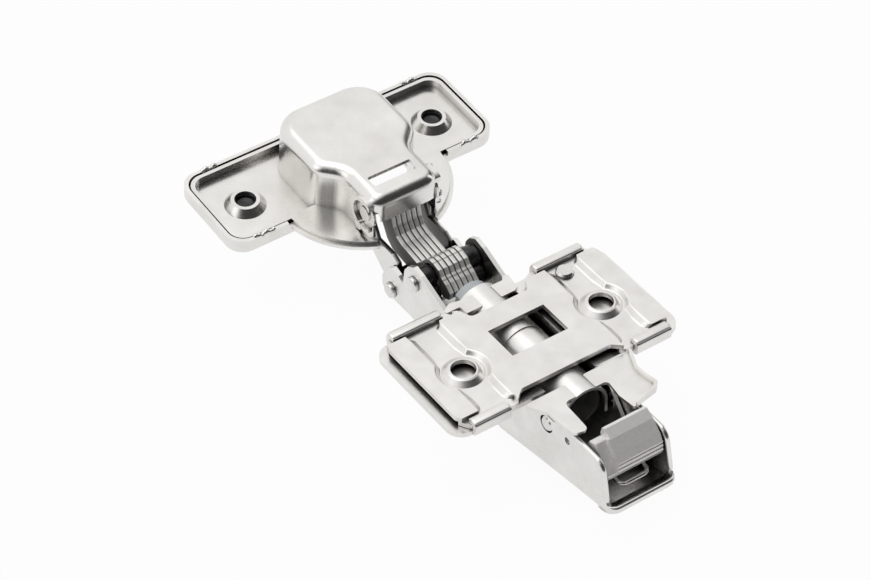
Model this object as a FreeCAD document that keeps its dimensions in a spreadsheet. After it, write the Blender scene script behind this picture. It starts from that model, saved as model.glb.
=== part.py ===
import FreeCAD, Part
import math
import os
import Sketcher

# A soft-close cabinet hinge with its mounting plate, door standing open.
# The plane z = 0 is the cabinet side that the plate is screwed to, and the hinge hangs
# below it.  +Y runs out of the cabinet to the door cup, X is the height of the cabinet,
# and the origin lies midway between the two plate screws.

DOC = FreeCAD.newDocument("Hinge")
SHEET = DOC.addObject("Spreadsheet::Sheet", "Sizes")
V = FreeCAD.Vector
NODES = []
ROW = [0]


class Size:
    """A length in mm or an angle in degrees, with the words that bind a feature to the sheet."""

    def __init__(self, value, words):
        self.value = value
        self.words = words

    def __add__(self, other):
        other = as_size(other)
        return Size(self.value + other.value, "(%s + %s)" % (self.words, other.words))

    def __radd__(self, other):
        return as_size(other) + self

    def __sub__(self, other):
        other = as_size(other)
        return Size(self.value - other.value, "(%s - %s)" % (self.words, other.words))

    def __rsub__(self, other):
        return as_size(other) - self

    def __mul__(self, other):
        other = as_size(other)
        return Size(self.value * other.value, "(%s * %s)" % (self.words, other.words))

    def __rmul__(self, other):
        return as_size(other) * self

    def __truediv__(self, other):
        other = as_size(other)
        return Size(self.value / other.value, "(%s / %s)" % (self.words, other.words))

    def __neg__(self):
        return Size(-self.value, "(-1 * %s)" % self.words)

    def __float__(self):
        return float(self.value)


def as_size(number):
    """Turn a plain number into a Size; leave a Size as it is."""
    if isinstance(number, Size):
        return number
    return Size(float(number), "(%.6f)" % float(number))


def given(name, value):
    """Write one driving dimension into the sheet and hand it back."""
    ROW[0] += 1
    SHEET.set("A%d" % ROW[0], name)
    SHEET.set("B%d" % ROW[0], str(value))
    SHEET.setAlias("B%d" % ROW[0], name)
    return Size(float(value), "Sizes." + name)


EARLIER = set(globals())

# Sheet thicknesses, pins and fits
plate_sheet = 1.0
cup_sheet = 0.8
arm_sheet = 0.9
bracket_sheet = 0.8
cover_sheet = 0.6
pin_radius = 1.6
neck_radius = 1.3
cup_pin_radius = 1.1
running_fit = 0.06
side_gap = 0.25
free_gap = 0.3
rivet_stand = 0.4

# Mounting plate
screw_spacing = 32.0
screw_hole_radius = 2.45
screw_boss_radius = 4.15
plate_half_length = 24.4
plate_front = 15.0
plate_rear = 12.2
plate_corner = 3.0
channel_depth = 1.0
channel_inner_x = 12.3
channel_outer_x = 20.0
channel_pad_radius = 5.4
channel_wall = 0.6
front_shelf_x = 8.8
rear_shelf_x = 12.2
centre_front = 10.6
notch_half = 6.6
window_half_width = 6.45
window_front = 5.6
window_rear = 2.4

# Clamping bracket: two wings under the plate and the channel between them
wing_half = 26.2
wing_round = 3.4
wing_drop = 0.1
clamp_play = 0.1
clamp_lap = 1.3
front_clamp_inner_x = 11.0
front_clamp_outer_x = 22.3
rear_clamp_inner_x = 14.5
rear_clamp_outer_x = 22.6
height_travel = 2.0
depth_travel = 1.04
bracket_web_z = -14.2
bracket_front = 19.4
bracket_rear = -27.2
cam_x = 15.75
cam_y = 11.2
cam_pin_radius = 1.8
cam_head_radius = 3.6
cam_head_height = 2.2
cam_throw = 1.2

# Damper and the sheet cover over it
damper_radius = 4.3
damper_axis_z = -6.4
damper_front = 12.4
damper_rear = -15.9
cover_radius = 5.28
cover_front = 18.0
cover_rear = -16.6
plunger_tip = 20.6
plunger_rear = 16.2
plunger_stroke = 3.0
rod_radius = 1.4

# Hinge arm
arm_half = 7.7
arm_deep_z = -20.5
arm_deep_y = 0.6
arm_nose_y = 39.3
arm_nose_z = -14.9
arm_web_front_y = 29.6
arm_rear_y = -35.2
arm_rear_round = 2.0
arm_rear_z = -14.2
arm_top_z = -4.5
tilt_pivot_y = -14.9
tilt_pivot_z = -6.9
depth_cam_y = -6.0
side_screw_y = 11.0
screw_head_radius = 3.0

# Four pivots of the linkage, two in the arm and two in the cup
front_pivot_y = 36.2
front_pivot_z = -12.1
rear_pivot_y = 28.3
rear_pivot_z = -4.5
outer_pivot_v = -19.2
outer_pivot_w = 3.0
inner_pivot_v = -20.6
inner_pivot_w = 6.9

# Links
link_plate = 1.02
link_pitch = 1.2
link_eye_radius = 2.1
knuckle_radius = 3.5
knuckle_play = 1.38
outer_link_sheet = 1.0
outer_link_root = 3.2
outer_link_eye = 2.4
spacer_radius = 3.9
LINK_COUNT = 6

# Cup, in its own frame: x, v away from the arm, w into the door
cup_y = 65.9
cup_z = -3.8
cup_tilt = 4.0
door_screw_spacing = 45.0
door_hole_radius = 2.2
door_boss_radius = 4.25
door_boss_height = 1.5
cup_centre_v = -7.2
cup_disc_radius = 18.05
cup_disc_top = 1.7
face_disc_radius = 18.85
cup_depth = 12.0
face_half_length = 31.4
face_front_v = -10.8
face_back_v = 11.6
face_corner = 4.0
face_rim = 1.9
face_round = 1.0
rim_gap = 0.35
housing_front_v = -24.2
housing_back_v = 8.6
housing_half_wide = 12.3
housing_half_narrow = 8.2
housing_waist_v = -10.5
housing_waist = 4.2
housing_draft = 0.35
housing_nose = 3.0
housing_heel = 6.6
housing_crest = 2.4
mouth_half = 6.95
mouth_height = 6.4
eye_window_radius = 3.1
eye_lip_radius = 4.0

# Release lever
lever_pivot_y = -24.0
lever_pivot_z = -10.9
lever_pin_radius = 1.1
lever_wall = 1.2
rib_pitch = 0.85
wire_radius = 0.45

# Each size above goes into the sheet under its own name, and from here on stands for its cell
for name, value in sorted(globals().items()):
    if name not in EARLIER and isinstance(value, float):
        globals()[name] = given(name, value)

# Widths that follow the arm's inside width: the bracket's channel, the U link and the lever
arm_inner_half = arm_half - arm_sheet
bracket_half = arm_inner_half - side_gap
outer_link_half = arm_inner_half - free_gap
lever_half = bracket_half - free_gap


def plane(body, role):
    """One of the body's own origin planes."""
    for feature in body.Origin.OriginFeatures:
        if feature.Role == role:
            return feature


def new_body(label):
    """Start a sub-part as a body with its own label."""
    body = DOC.addObject("PartDesign::Body", label)
    body.Label = label
    NODES.append(body)
    return body


def new_shape(label, shape):
    """Add a sub-part whose shape is worked out here."""
    piece = DOC.addObject("Part::Feature", label)
    piece.Shape = shape
    piece.Label = label
    NODES.append(piece)
    return piece


def set_in_cup(piece):
    """Place a piece that is drawn in the cup's own frame."""
    turn = FreeCAD.Rotation(V(1, 0, 0), float(cup_tilt))
    piece.Placement = FreeCAD.Placement(V(0, float(cup_y), float(cup_z)), turn)
    piece.setExpression("Placement.Base.y", cup_y.words)
    piece.setExpression("Placement.Base.z", cup_z.words)
    piece.setExpression("Placement.Rotation.Angle", cup_tilt.words)


def new_sketch(body, role, offset=0.0, aside=0.0):
    """A sketch on one of the body's planes, moved along its normal and along its first axis."""
    name = "%s_sketch_%d" % (body.Label, len(body.Group))
    sketch = body.newObject("Sketcher::SketchObject", name)
    sketch.AttachmentSupport = (plane(body, role), "")
    sketch.MapMode = "FlatFace"
    offset = as_size(offset)
    aside = as_size(aside)
    sketch.AttachmentOffset = FreeCAD.Placement(V(aside.value, 0, offset.value), FreeCAD.Rotation())
    sketch.setExpression("AttachmentOffset.Base.x", aside.words)
    sketch.setExpression("AttachmentOffset.Base.z", offset.words)
    return sketch


def bind(sketch, kind, element, vertex, length):
    """Hold a point's distance from the sketch's origin at a size."""
    length = as_size(length)
    index = sketch.addConstraint(Sketcher.Constraint(kind, -1, 1, element, vertex, length.value))
    sketch.setExpression("Constraints[%d]" % index, length.words)


def outline(body, role, points, offset=0.0, aside=0.0):
    """A sketch with one closed outline, each corner bound in both directions."""
    sketch = new_sketch(body, role, offset, aside)
    count = len(points)
    flat = [V(float(first), float(second), 0) for first, second in points]
    for index in range(count):
        sketch.addGeometry(Part.LineSegment(flat[index], flat[(index + 1) % count]), False)
    for index in range(count):
        sketch.addConstraint(Sketcher.Constraint("Coincident", index, 2, (index + 1) % count, 1))
    for index in range(count):
        bind(sketch, "DistanceX", index, 1, points[index][0])
        bind(sketch, "DistanceY", index, 1, points[index][1])
    return sketch


def circle(body, role, centre, radius, offset=0.0):
    """A sketch with one circle bound by its centre and its radius."""
    sketch = new_sketch(body, role, offset)
    radius = as_size(radius)
    middle = V(float(centre[0]), float(centre[1]), 0)
    sketch.addGeometry(Part.Circle(middle, V(0, 0, 1), radius.value), False)
    bind(sketch, "DistanceX", 0, 3, centre[0])
    bind(sketch, "DistanceY", 0, 3, centre[1])
    held = sketch.addConstraint(Sketcher.Constraint("Radius", 0, radius.value))
    sketch.setExpression("Constraints[%d]" % held, radius.words)
    return sketch


def extrude(body, kind, sketch, length, reverse, both):
    """Pad or pocket a sketch by a bound length."""
    length = as_size(length)
    name = "%s_%s_%d" % (body.Label, kind, len(body.Group))
    feature = body.newObject("PartDesign::" + kind, name)
    feature.Profile = (sketch, [""])
    feature.Length = length.value
    feature.setExpression("Length", length.words)
    feature.Reversed = reverse
    feature.Midplane = both
    sketch.Visibility = False
    return feature


def pad(body, sketch, length, reverse=False, both=False):
    """Add material over a sketch, along its normal unless reversed."""
    return extrude(body, "Pad", sketch, length, reverse, both)


def pocket(body, sketch, length, reverse=False, both=False):
    """Take material away under a sketch, against its normal unless reversed."""
    return extrude(body, "Pocket", sketch, length, reverse, both)


def turned(body, kind, sketch):
    """Turn a sketch about its own vertical axis, to add a Revolution or to cut a Groove."""
    name = "%s_%s_%d" % (body.Label, kind, len(body.Group))
    feature = body.newObject("PartDesign::" + kind, name)
    feature.Profile = (sketch, [""])
    feature.ReferenceAxis = (sketch, ["V_Axis"])
    feature.Angle = 360.0
    sketch.Visibility = False
    return feature


def round_edges(body, base, radius, test):
    """Round the straight edges of a feature whose middle and direction pass a test."""
    DOC.recompute()
    names = []
    for index, edge in enumerate(base.Shape.Edges):
        if len(edge.Vertexes) < 2:
            continue
        middle = edge.valueAt((edge.FirstParameter + edge.LastParameter) / 2)
        along = edge.Vertexes[-1].Point - edge.Vertexes[0].Point
        if edge.Curve.TypeId == "Part::GeomLine" and test(middle, along):
            names.append("Edge%d" % (index + 1))
    radius = as_size(radius)
    feature = body.newObject("PartDesign::Fillet", "%s_round_%d" % (body.Label, len(body.Group)))
    feature.Base = (base, names)
    feature.Radius = radius.value
    feature.setExpression("Radius", radius.words)
    return feature


def upright(along):
    """True for an edge that runs along Z."""
    return abs(along.x) + abs(along.y) < 1e-6


def crosswise(along):
    """True for an edge that runs along X."""
    return abs(along.y) + abs(along.z) < 1e-6


def mirrored(points):
    """The points and their mirror images across the second axis, as one closed outline."""
    return points + [(-as_size(first), second) for first, second in reversed(points)]


def from_cup(v, w):
    """The Y and Z of a point given in the cup's frame."""
    cosine = math.cos(math.radians(float(cup_tilt)))
    sine = math.sin(math.radians(float(cup_tilt)))
    across = Size(float(v) * cosine - float(w) * sine, "")
    above = Size(float(v) * sine + float(w) * cosine, "")
    v = as_size(v)
    w = as_size(w)
    across.words = "(%s * cos(%s) - %s * sin(%s))" % (v.words, angle_words(), w.words, angle_words())
    above.words = "(%s * sin(%s) + %s * cos(%s))" % (v.words, angle_words(), w.words, angle_words())
    return (cup_y + across, cup_z + above)


def angle_words():
    """The cup's tilt as an angle that the sheet's functions take."""
    return "Sizes.cup_tilt * 1 deg"


def bar(radius, low, high, across=0.0, above=0.0):
    """A plain round bar along X between two stations, at a Y and a Z."""
    start = V(float(low), float(across), float(above))
    return Part.makeCylinder(float(radius), float(high) - float(low), start, V(1, 0, 0))


def upright_bar(radius, low, high, x=0.0, y=0.0):
    """A plain round bar along Z between two heights."""
    start = V(float(x), float(y), float(low))
    return Part.makeCylinder(float(radius), float(high) - float(low), start, V(0, 0, 1))


def box(x_low, x_high, y_low, y_high, z_low, z_high):
    """A block between two corners."""
    start = V(float(x_low), float(y_low), float(z_low))
    return Part.makeBox(float(x_high) - float(x_low), float(y_high) - float(y_low),
                        float(z_high) - float(z_low), start)


def rounded_wire(points, radii, height):
    """A closed outline at a height, each corner rounded by its own arc."""
    corners = [V(float(x), float(y), float(height)) for x, y in points]
    count = len(corners)
    arcs = []
    for index in range(count):
        here = corners[index]
        before = (corners[index - 1] - here).normalize()
        after = (corners[(index + 1) % count] - here).normalize()
        half = before.getAngle(after) / 2
        radius = float(radii[index])
        reach = radius / math.tan(half)
        inward = (before + after).normalize()
        middle = here + inward * (radius / math.sin(half) - radius)
        arcs.append((here + before * reach, middle, here + after * reach))
    edges = []
    for index in range(count):
        entry, middle, leave = arcs[index]
        edges.append(Part.Arc(entry, middle, leave).toShape())
        edges.append(Part.LineSegment(leave, arcs[(index + 1) % count][0]).toShape())
    return Part.Wire(edges)


def rounded_slab(points, radii, low, high):
    """A flat slab with rounded corners between two heights."""
    face = Part.Face(rounded_wire(points, radii, low))
    return face.extrude(V(0, 0, float(high) - float(low)))


def make_base_plate():
    """Pressed plate: raised centre and ends, with two channels that hold the screws."""
    body = new_body("base_plate")
    low = -plate_sheet - channel_depth
    right = [
        (notch_half, centre_front),
        (notch_half + 1.2, plate_front - 1.6),
        (front_shelf_x, plate_front - 1.2),
        (front_shelf_x + 0.8, plate_front),
        (plate_half_length - 1.4, plate_front),
        (plate_half_length, plate_front - plate_corner),
        (plate_half_length, -plate_rear + plate_corner),
        (plate_half_length - 1.8, -plate_rear),
        (rear_shelf_x + 0.2, -plate_rear),
        (rear_shelf_x - 2.0, -plate_rear + 1.9),
    ]
    slab = pad(body, outline(body, "XY_Plane", mirrored(right)), plate_sheet + channel_depth, reverse=True)
    round_edges(body, slab, 1.1, lambda middle, along: upright(along))
    far = plate_half_length + 2
    front = plate_front + 2
    rear = -plate_rear - 2
    shelf_front = plate_front - clamp_lap - 0.5
    shelf_rear = -plate_rear + clamp_lap + 0.5
    joggle_front = shelf_front - channel_wall
    joggle_rear = shelf_rear + channel_wall
    # The raised centre is hollow below, up to the walls of the channels and the shelves
    crown = [(front_shelf_x - channel_wall, front), (front_shelf_x - channel_wall, joggle_front),
             (channel_inner_x - channel_wall, joggle_front), (channel_inner_x - channel_wall, joggle_rear),
             (rear_shelf_x - channel_wall, joggle_rear), (rear_shelf_x - channel_wall, rear)]
    pocket(body, outline(body, "XY_Plane", mirrored(crown), -plate_sheet), channel_depth + 1)
    for side in (-1, 1):
        near = side * (channel_outer_x + channel_wall)
        end = [(near, joggle_front), (near, joggle_rear), (side * far, joggle_rear), (side * far, joggle_front)]
        pocket(body, outline(body, "XY_Plane", end, -plate_sheet), channel_depth + 1)
    for side in (-1, 1):
        near = side * channel_inner_x
        end = side * channel_outer_x
        channel = [(near, front), (near, rear), (end, rear), (end, front)]
        pocket(body, outline(body, "XY_Plane", channel), channel_depth)
        screw = (side * screw_spacing / 2, 0.0)
        pad(body, circle(body, "XY_Plane", screw, channel_pad_radius + channel_wall, low), channel_depth)
        pocket(body, circle(body, "XY_Plane", screw, channel_pad_radius), channel_depth)
        for inner, back, edge in ((front_shelf_x, shelf_front, front), (rear_shelf_x, shelf_rear, rear)):
            shelf = [(side * inner, back), (side * far, back), (side * far, edge), (side * inner, edge)]
            pocket(body, outline(body, "XY_Plane", shelf), channel_depth)
        boss = [(1.5, -channel_depth - 0.5), (screw_boss_radius, -channel_depth - 0.5),
                (screw_boss_radius, -channel_depth), (screw_hole_radius + 0.65, -0.15),
                (screw_hole_radius + 0.3, 0.0), (1.5, 0.0)]
        turned(body, "Revolution", outline(body, "XZ_Plane", boss, 0.0, side * screw_spacing / 2))
        flare = screw_boss_radius - 0.55
        bore = [(0.0, 1.0), (screw_hole_radius, 1.0), (screw_hole_radius, -channel_depth),
                (flare, low), (flare, low - 1), (0.0, low - 1)]
        turned(body, "Groove", outline(body, "XZ_Plane", bore, 0.0, side * screw_spacing / 2))
    edge = window_half_width
    window = [(-edge, window_front), (edge, window_front), (edge, -window_rear), (-edge, -window_rear)]
    pocket(body, outline(body, "XY_Plane", window, 1.0), plate_sheet + channel_depth + 2)
    cam_hole = circle(body, "XY_Plane", (cam_x, cam_y), cam_pin_radius + running_fit, 1.0)
    pocket(body, cam_hole, plate_sheet + channel_depth + 2)
    return body


make_base_plate()


def make_bracket():
    """Two wings folded over the mounting plate's edges, and the deep channel between them."""
    body = new_body("clamp_bracket")
    top = -plate_sheet - channel_depth - wing_drop
    low = top - plate_sheet
    wall_front = plate_front + 0.15
    wall_rear = -plate_rear - 0.15
    right = [
        (bracket_half, wall_front),
        (front_clamp_inner_x, wall_front),
        (front_clamp_inner_x, wall_front + plate_sheet),
        (front_clamp_outer_x, wall_front + plate_sheet),
        (front_clamp_outer_x, wall_front),
        (wing_half, wall_front),
        (wing_half, wall_rear),
        (rear_clamp_outer_x, wall_rear),
        (rear_clamp_outer_x, wall_rear - plate_sheet),
        (rear_clamp_inner_x, wall_rear - plate_sheet),
        (rear_clamp_inner_x, wall_rear + 0.6),
        (bracket_half, wall_rear + 0.6),
    ]
    wings = pad(body, outline(body, "XY_Plane", mirrored(right), low), plate_sheet)
    end = float(wing_half)
    round_edges(body, wings, float(wing_round), lambda middle, along: upright(along)
                and abs(abs(middle.x) - end) < 0.01)
    side_view = [
        (wall_front, top), (bracket_front, low - 2.0), (bracket_front, bracket_web_z + 1.6),
        (bracket_front - 1.6, bracket_web_z), (bracket_rear + 1.6, bracket_web_z),
        (bracket_rear, bracket_web_z + 1.4), (bracket_rear, lever_pivot_z + 0.9),
        (bracket_rear + 1.4, lever_pivot_z + 1.7), (lever_pivot_y + 3.0, lever_pivot_z + 1.7),
        (wall_rear - 4.0, low - 0.6), (wall_rear + 0.6, low - 0.2), (wall_rear + 0.6, top),
    ]
    trough = pad(body, outline(body, "YZ_Plane", side_view), bracket_half * 2, both=True)
    floor = bracket_web_z + bracket_sheet
    bend = float(bracket_web_z)
    round_edges(body, trough, 1.2, lambda middle, along: abs(middle.z - bend) < 0.01
                       and abs(along.x) + abs(along.z) < 1e-6
                       and abs(abs(middle.x) - float(bracket_half)) < 0.01)
    hollow = [(bracket_front + 3, top + 1), (bracket_front + 3, floor),
              (bracket_rear - 3, floor), (bracket_rear - 3, top + 1)]
    pocket(body, outline(body, "YZ_Plane", hollow), (bracket_half - bracket_sheet) * 2, both=True)
    lip_low = -channel_depth + clamp_play
    lip_top = -clamp_play
    for side in (-1, 1):
        for inner, outer, wall, sign in (
                (front_clamp_inner_x, front_clamp_outer_x, wall_front, 1),
                (rear_clamp_inner_x, rear_clamp_outer_x, wall_rear, -1)):
            fold = [(side * inner, wall), (side * outer, wall),
                    (side * outer, wall + sign * plate_sheet), (side * inner, wall + sign * plate_sheet)]
            pad(body, outline(body, "XY_Plane", fold, low), lip_top - low)
            over = [(side * inner, wall - sign * clamp_lap), (side * outer, wall - sign * clamp_lap),
                    (side * outer, wall + sign * plate_sheet), (side * inner, wall + sign * plate_sheet)]
            lip = pad(body, outline(body, "XY_Plane", over, lip_low), lip_top - lip_low)
    crest = float(lip_top)
    edge_front = float(wall_front + plate_sheet)
    edge_rear = float(wall_rear - plate_sheet)
    foot = float(low)
    crests = round_edges(body, lip, 0.75, lambda middle, along: crosswise(along)
                         and abs(middle.z - crest) < 0.01
                         and (abs(middle.y - edge_front) < 0.01 or abs(middle.y - edge_rear) < 0.01))
    round_edges(body, crests, 0.95, lambda middle, along: crosswise(along)
                and abs(middle.z - foot) < 0.01
                and (abs(middle.y - edge_front) < 0.01 or abs(middle.y - edge_rear) < 0.01))
    reach = height_travel + cam_pin_radius + free_gap
    tall = cam_pin_radius + free_gap
    pin_slot = [(cam_x - reach, cam_y - tall), (cam_x + reach, cam_y - tall),
                (cam_x + reach, cam_y + tall), (cam_x - reach, cam_y + tall)]
    pocket(body, outline(body, "XY_Plane", pin_slot, top + 1), plate_sheet + 2)
    reach = depth_travel + pin_radius + running_fit
    tall = pin_radius + running_fit
    slot = [(tilt_pivot_y - reach, tilt_pivot_z - tall), (tilt_pivot_y + reach, tilt_pivot_z - tall),
            (tilt_pivot_y + reach, tilt_pivot_z + tall), (tilt_pivot_y - reach, tilt_pivot_z + tall)]
    pocket(body, outline(body, "YZ_Plane", slot), bracket_half * 4, both=True)
    pivot = circle(body, "YZ_Plane", (lever_pivot_y, lever_pivot_z), lever_pin_radius + running_fit)
    pocket(body, pivot, bracket_half * 4, both=True)
    wide = cam_throw + neck_radius + free_gap
    narrow = neck_radius + free_gap
    cam_slot = [(-wide, depth_cam_y - narrow), (wide, depth_cam_y - narrow),
                (wide, depth_cam_y + narrow), (-wide, depth_cam_y + narrow)]
    pocket(body, outline(body, "XY_Plane", cam_slot, floor + 1), bracket_sheet + 3)
    return body


def make_cover():
    """Arched sheet over the damper, with the flanges that lie on the bracket's wings."""
    outer = float(cover_radius)
    inner = outer - float(cover_sheet)
    axis = float(damper_axis_z)
    foot = axis - 3.0
    length = float(cover_front - cover_rear)
    start = V(0, float(cover_rear), axis)
    along = V(0, 1, 0)
    shell = Part.makeCylinder(outer, length, start, along)
    upper = box(-outer, outer, cover_rear, cover_front, axis, axis + outer)
    legs = box(-outer, outer, cover_rear, cover_front, foot, axis)
    shell = shell.common(upper).fuse(legs)
    seat = -plate_sheet - channel_depth - wing_drop
    low = float(seat)
    high = low + float(cover_sheet)
    rear = float(cover_rear)
    behind = -float(plate_rear) - 0.4
    right = [(2.2, behind), (13.5, behind), (11.4, behind - 4.4), (11.5, behind - 7.0),
             (12.1, behind - 9.9), (10.9, behind - 11.0), (6.7, behind - 11.8), (4.9, behind - 12.3),
             (4.4, behind - 8.2), (5.0, rear + 0.1), (2.2, rear + 0.1)]
    left = [(-2.2, behind - 0.3), (-11.5, behind - 0.3), (-9.0, behind - 4.4), (-9.0, behind - 6.4),
            (-8.3, behind - 11.4), (-5.4, behind - 12.0), (-5.2, behind - 8.6), (-5.0, rear + 0.1),
            (-2.2, rear + 0.1)]
    lug = float(cover_front) - 4.9
    past = float(plate_front) + 0.3
    right_front = [(2.2, lug), (5.2, lug), (6.4, lug + 0.6), (6.8, past + 2.1), (5.8, past + 2.6),
                   (5.0, past + 1.5), (2.2, past + 1.5)]
    left_front = [(-2.2, lug), (-5.8, lug), (-6.0, past), (-8.9, past), (-9.3, past + 0.6),
                  (-7.2, past + 2.0), (-5.2, past + 1.5), (-2.2, past + 1.5)]
    soft_right = [0.3, 0.6, 2.6, 2.6, 0.7, 1.2, 1.6, 0.5, 1.4, 0.9, 0.3]
    soft_left = [0.3, 0.6, 1.8, 1.8, 1.1, 0.9, 1.4, 1.2, 0.3]
    flange = rounded_slab(right, soft_right, low, high)
    flange = flange.fuse(rounded_slab(left, soft_left, low, high))
    flange = flange.fuse(rounded_slab(right_front, [0.3, 0.5, 0.4, 0.4, 0.4, 0.4, 0.3], low, high))
    flange = flange.fuse(rounded_slab(left_front, [0.3, 0.3, 0.3, 0.2, 0.3, 0.8, 0.4, 0.3], low, high))
    shell = shell.fuse(flange)
    lip = rounded_slab(right, soft_right, low, high + 0.9)
    keep = rounded_slab([(1.0, behind + 1), (13.1, behind + 1), (10.8, behind - 4.5), (10.9, behind - 7.0),
                         (11.45, behind - 9.6), (10.5, behind - 10.4), (6.2, behind - 11.2),
                         (3.4, behind - 14.0), (1.0, behind - 14.0)],
                        [0.2, 0.2, 2.2, 2.2, 0.4, 0.8, 0.8, 0.5, 0.2], low - 1, high + 2)
    shell = shell.fuse(lip.cut(keep))
    bore = Part.makeCylinder(inner, length + 20, V(0, rear - 10, axis), along)
    under = box(-inner, inner, rear - 10, float(cover_front) + 10, foot - 1, axis)
    shell = shell.cut(bore).cut(under)
    groove = Part.makeCylinder(outer + 0.5, 0.9, V(0, 2.6, axis), along)
    groove = groove.cut(Part.makeCylinder(outer - 0.25, 0.9, V(0, 2.6, axis), along))
    upper = box(-4.6, 4.6, 2.0, 4.0, axis + 2.6, axis + outer + 1)
    shell = shell.cut(groove.common(upper))
    return new_shape("damper_cover", shell.removeSplitter())


def make_damper():
    """Damper cylinder with a domed rear end, and the plunger that the link pushes home."""
    body = new_body("damper_cylinder")
    barrel = circle(body, "XZ_Plane", (0.0, damper_axis_z), damper_radius, -damper_front)
    long_barrel = pad(body, barrel, damper_front - damper_rear, reverse=False)
    DOC.recompute()
    rim = []
    for index, edge in enumerate(long_barrel.Shape.Edges):
        middle = edge.valueAt(edge.FirstParameter)
        if edge.Curve.TypeId == "Part::GeomCircle" and abs(middle.y - float(damper_rear)) < 0.01:
            rim.append("Edge%d" % (index + 1))
    dome = body.newObject("PartDesign::Fillet", "damper_cylinder_round")
    dome.Base = (long_barrel, rim)
    dome.Radius = 0.9
    rod_bore = circle(body, "XZ_Plane", (0.0, damper_axis_z), rod_radius + free_gap, -damper_front)
    pocket(body, rod_bore, plunger_stroke + 2.0, reverse=True)
    plunger = new_body("damper_plunger")
    flat = cover_radius * 0.62
    head = circle(plunger, "XZ_Plane", (0.0, damper_axis_z), damper_radius - 0.2, -plunger_tip)
    pad(plunger, head, plunger_tip - plunger_rear)
    for side in (-1, 1):
        cheek = [(side * flat, damper_axis_z - 9), (side * flat, damper_axis_z + 9),
                 (side * (flat + 5), damper_axis_z + 9), (side * (flat + 5), damper_axis_z - 9)]
        pocket(plunger, outline(plunger, "XZ_Plane", cheek, -plunger_tip - 1), 12.0, reverse=True)
    cavity = circle(plunger, "XZ_Plane", (0.0, damper_axis_z), 1.5, -plunger_tip)
    pocket(plunger, cavity, 0.8, reverse=True)
    rod = circle(plunger, "XZ_Plane", (0.0, damper_axis_z), rod_radius, -plunger_rear)
    pad(plunger, rod, plunger_rear - damper_front + 1.0)
    return plunger


def make_height_cam():
    """Slotted cam whose round pin shows in the plate's right channel."""
    body = new_body("height_cam")
    low = -plate_sheet * 2 - channel_depth - wing_drop
    head = [(0.0, low - 0.05), (cam_head_radius, low - 0.05),
            (cam_head_radius, low + 0.5 - cam_head_height),
            (cam_head_radius - 0.5, low - cam_head_height), (0.0, low - cam_head_height)]
    turned(body, "Revolution", outline(body, "XZ_Plane", head))
    pin = [(0.0, low - 0.5), (cam_pin_radius, low - 0.5), (cam_pin_radius, -0.5),
           (cam_pin_radius - 0.3, -0.2), (0.0, -0.2)]
    turned(body, "Revolution", outline(body, "XZ_Plane", pin))
    cross(body, low - cam_head_height, 2.3)
    place_at(body, cam_x, cam_y, 0.0)
    return body


def cross(body, face, reach):
    """A cross recess in a face that looks down."""
    half = 0.42
    for wide, tall in ((reach, half), (half, reach)):
        arms = [(-wide, -tall), (wide, -tall), (wide, tall), (-wide, tall)]
        pocket(body, outline(body, "XY_Plane", arms, face), 1.1, reverse=True)


def place_at(body, x, y, z):
    """Set a body down at a place bound to the sizes."""
    x = as_size(x)
    y = as_size(y)
    z = as_size(z)
    body.Placement = FreeCAD.Placement(V(x.value, y.value, z.value), FreeCAD.Rotation())
    body.setExpression("Placement.Base.x", x.words)
    body.setExpression("Placement.Base.y", y.words)
    body.setExpression("Placement.Base.z", z.words)


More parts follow.
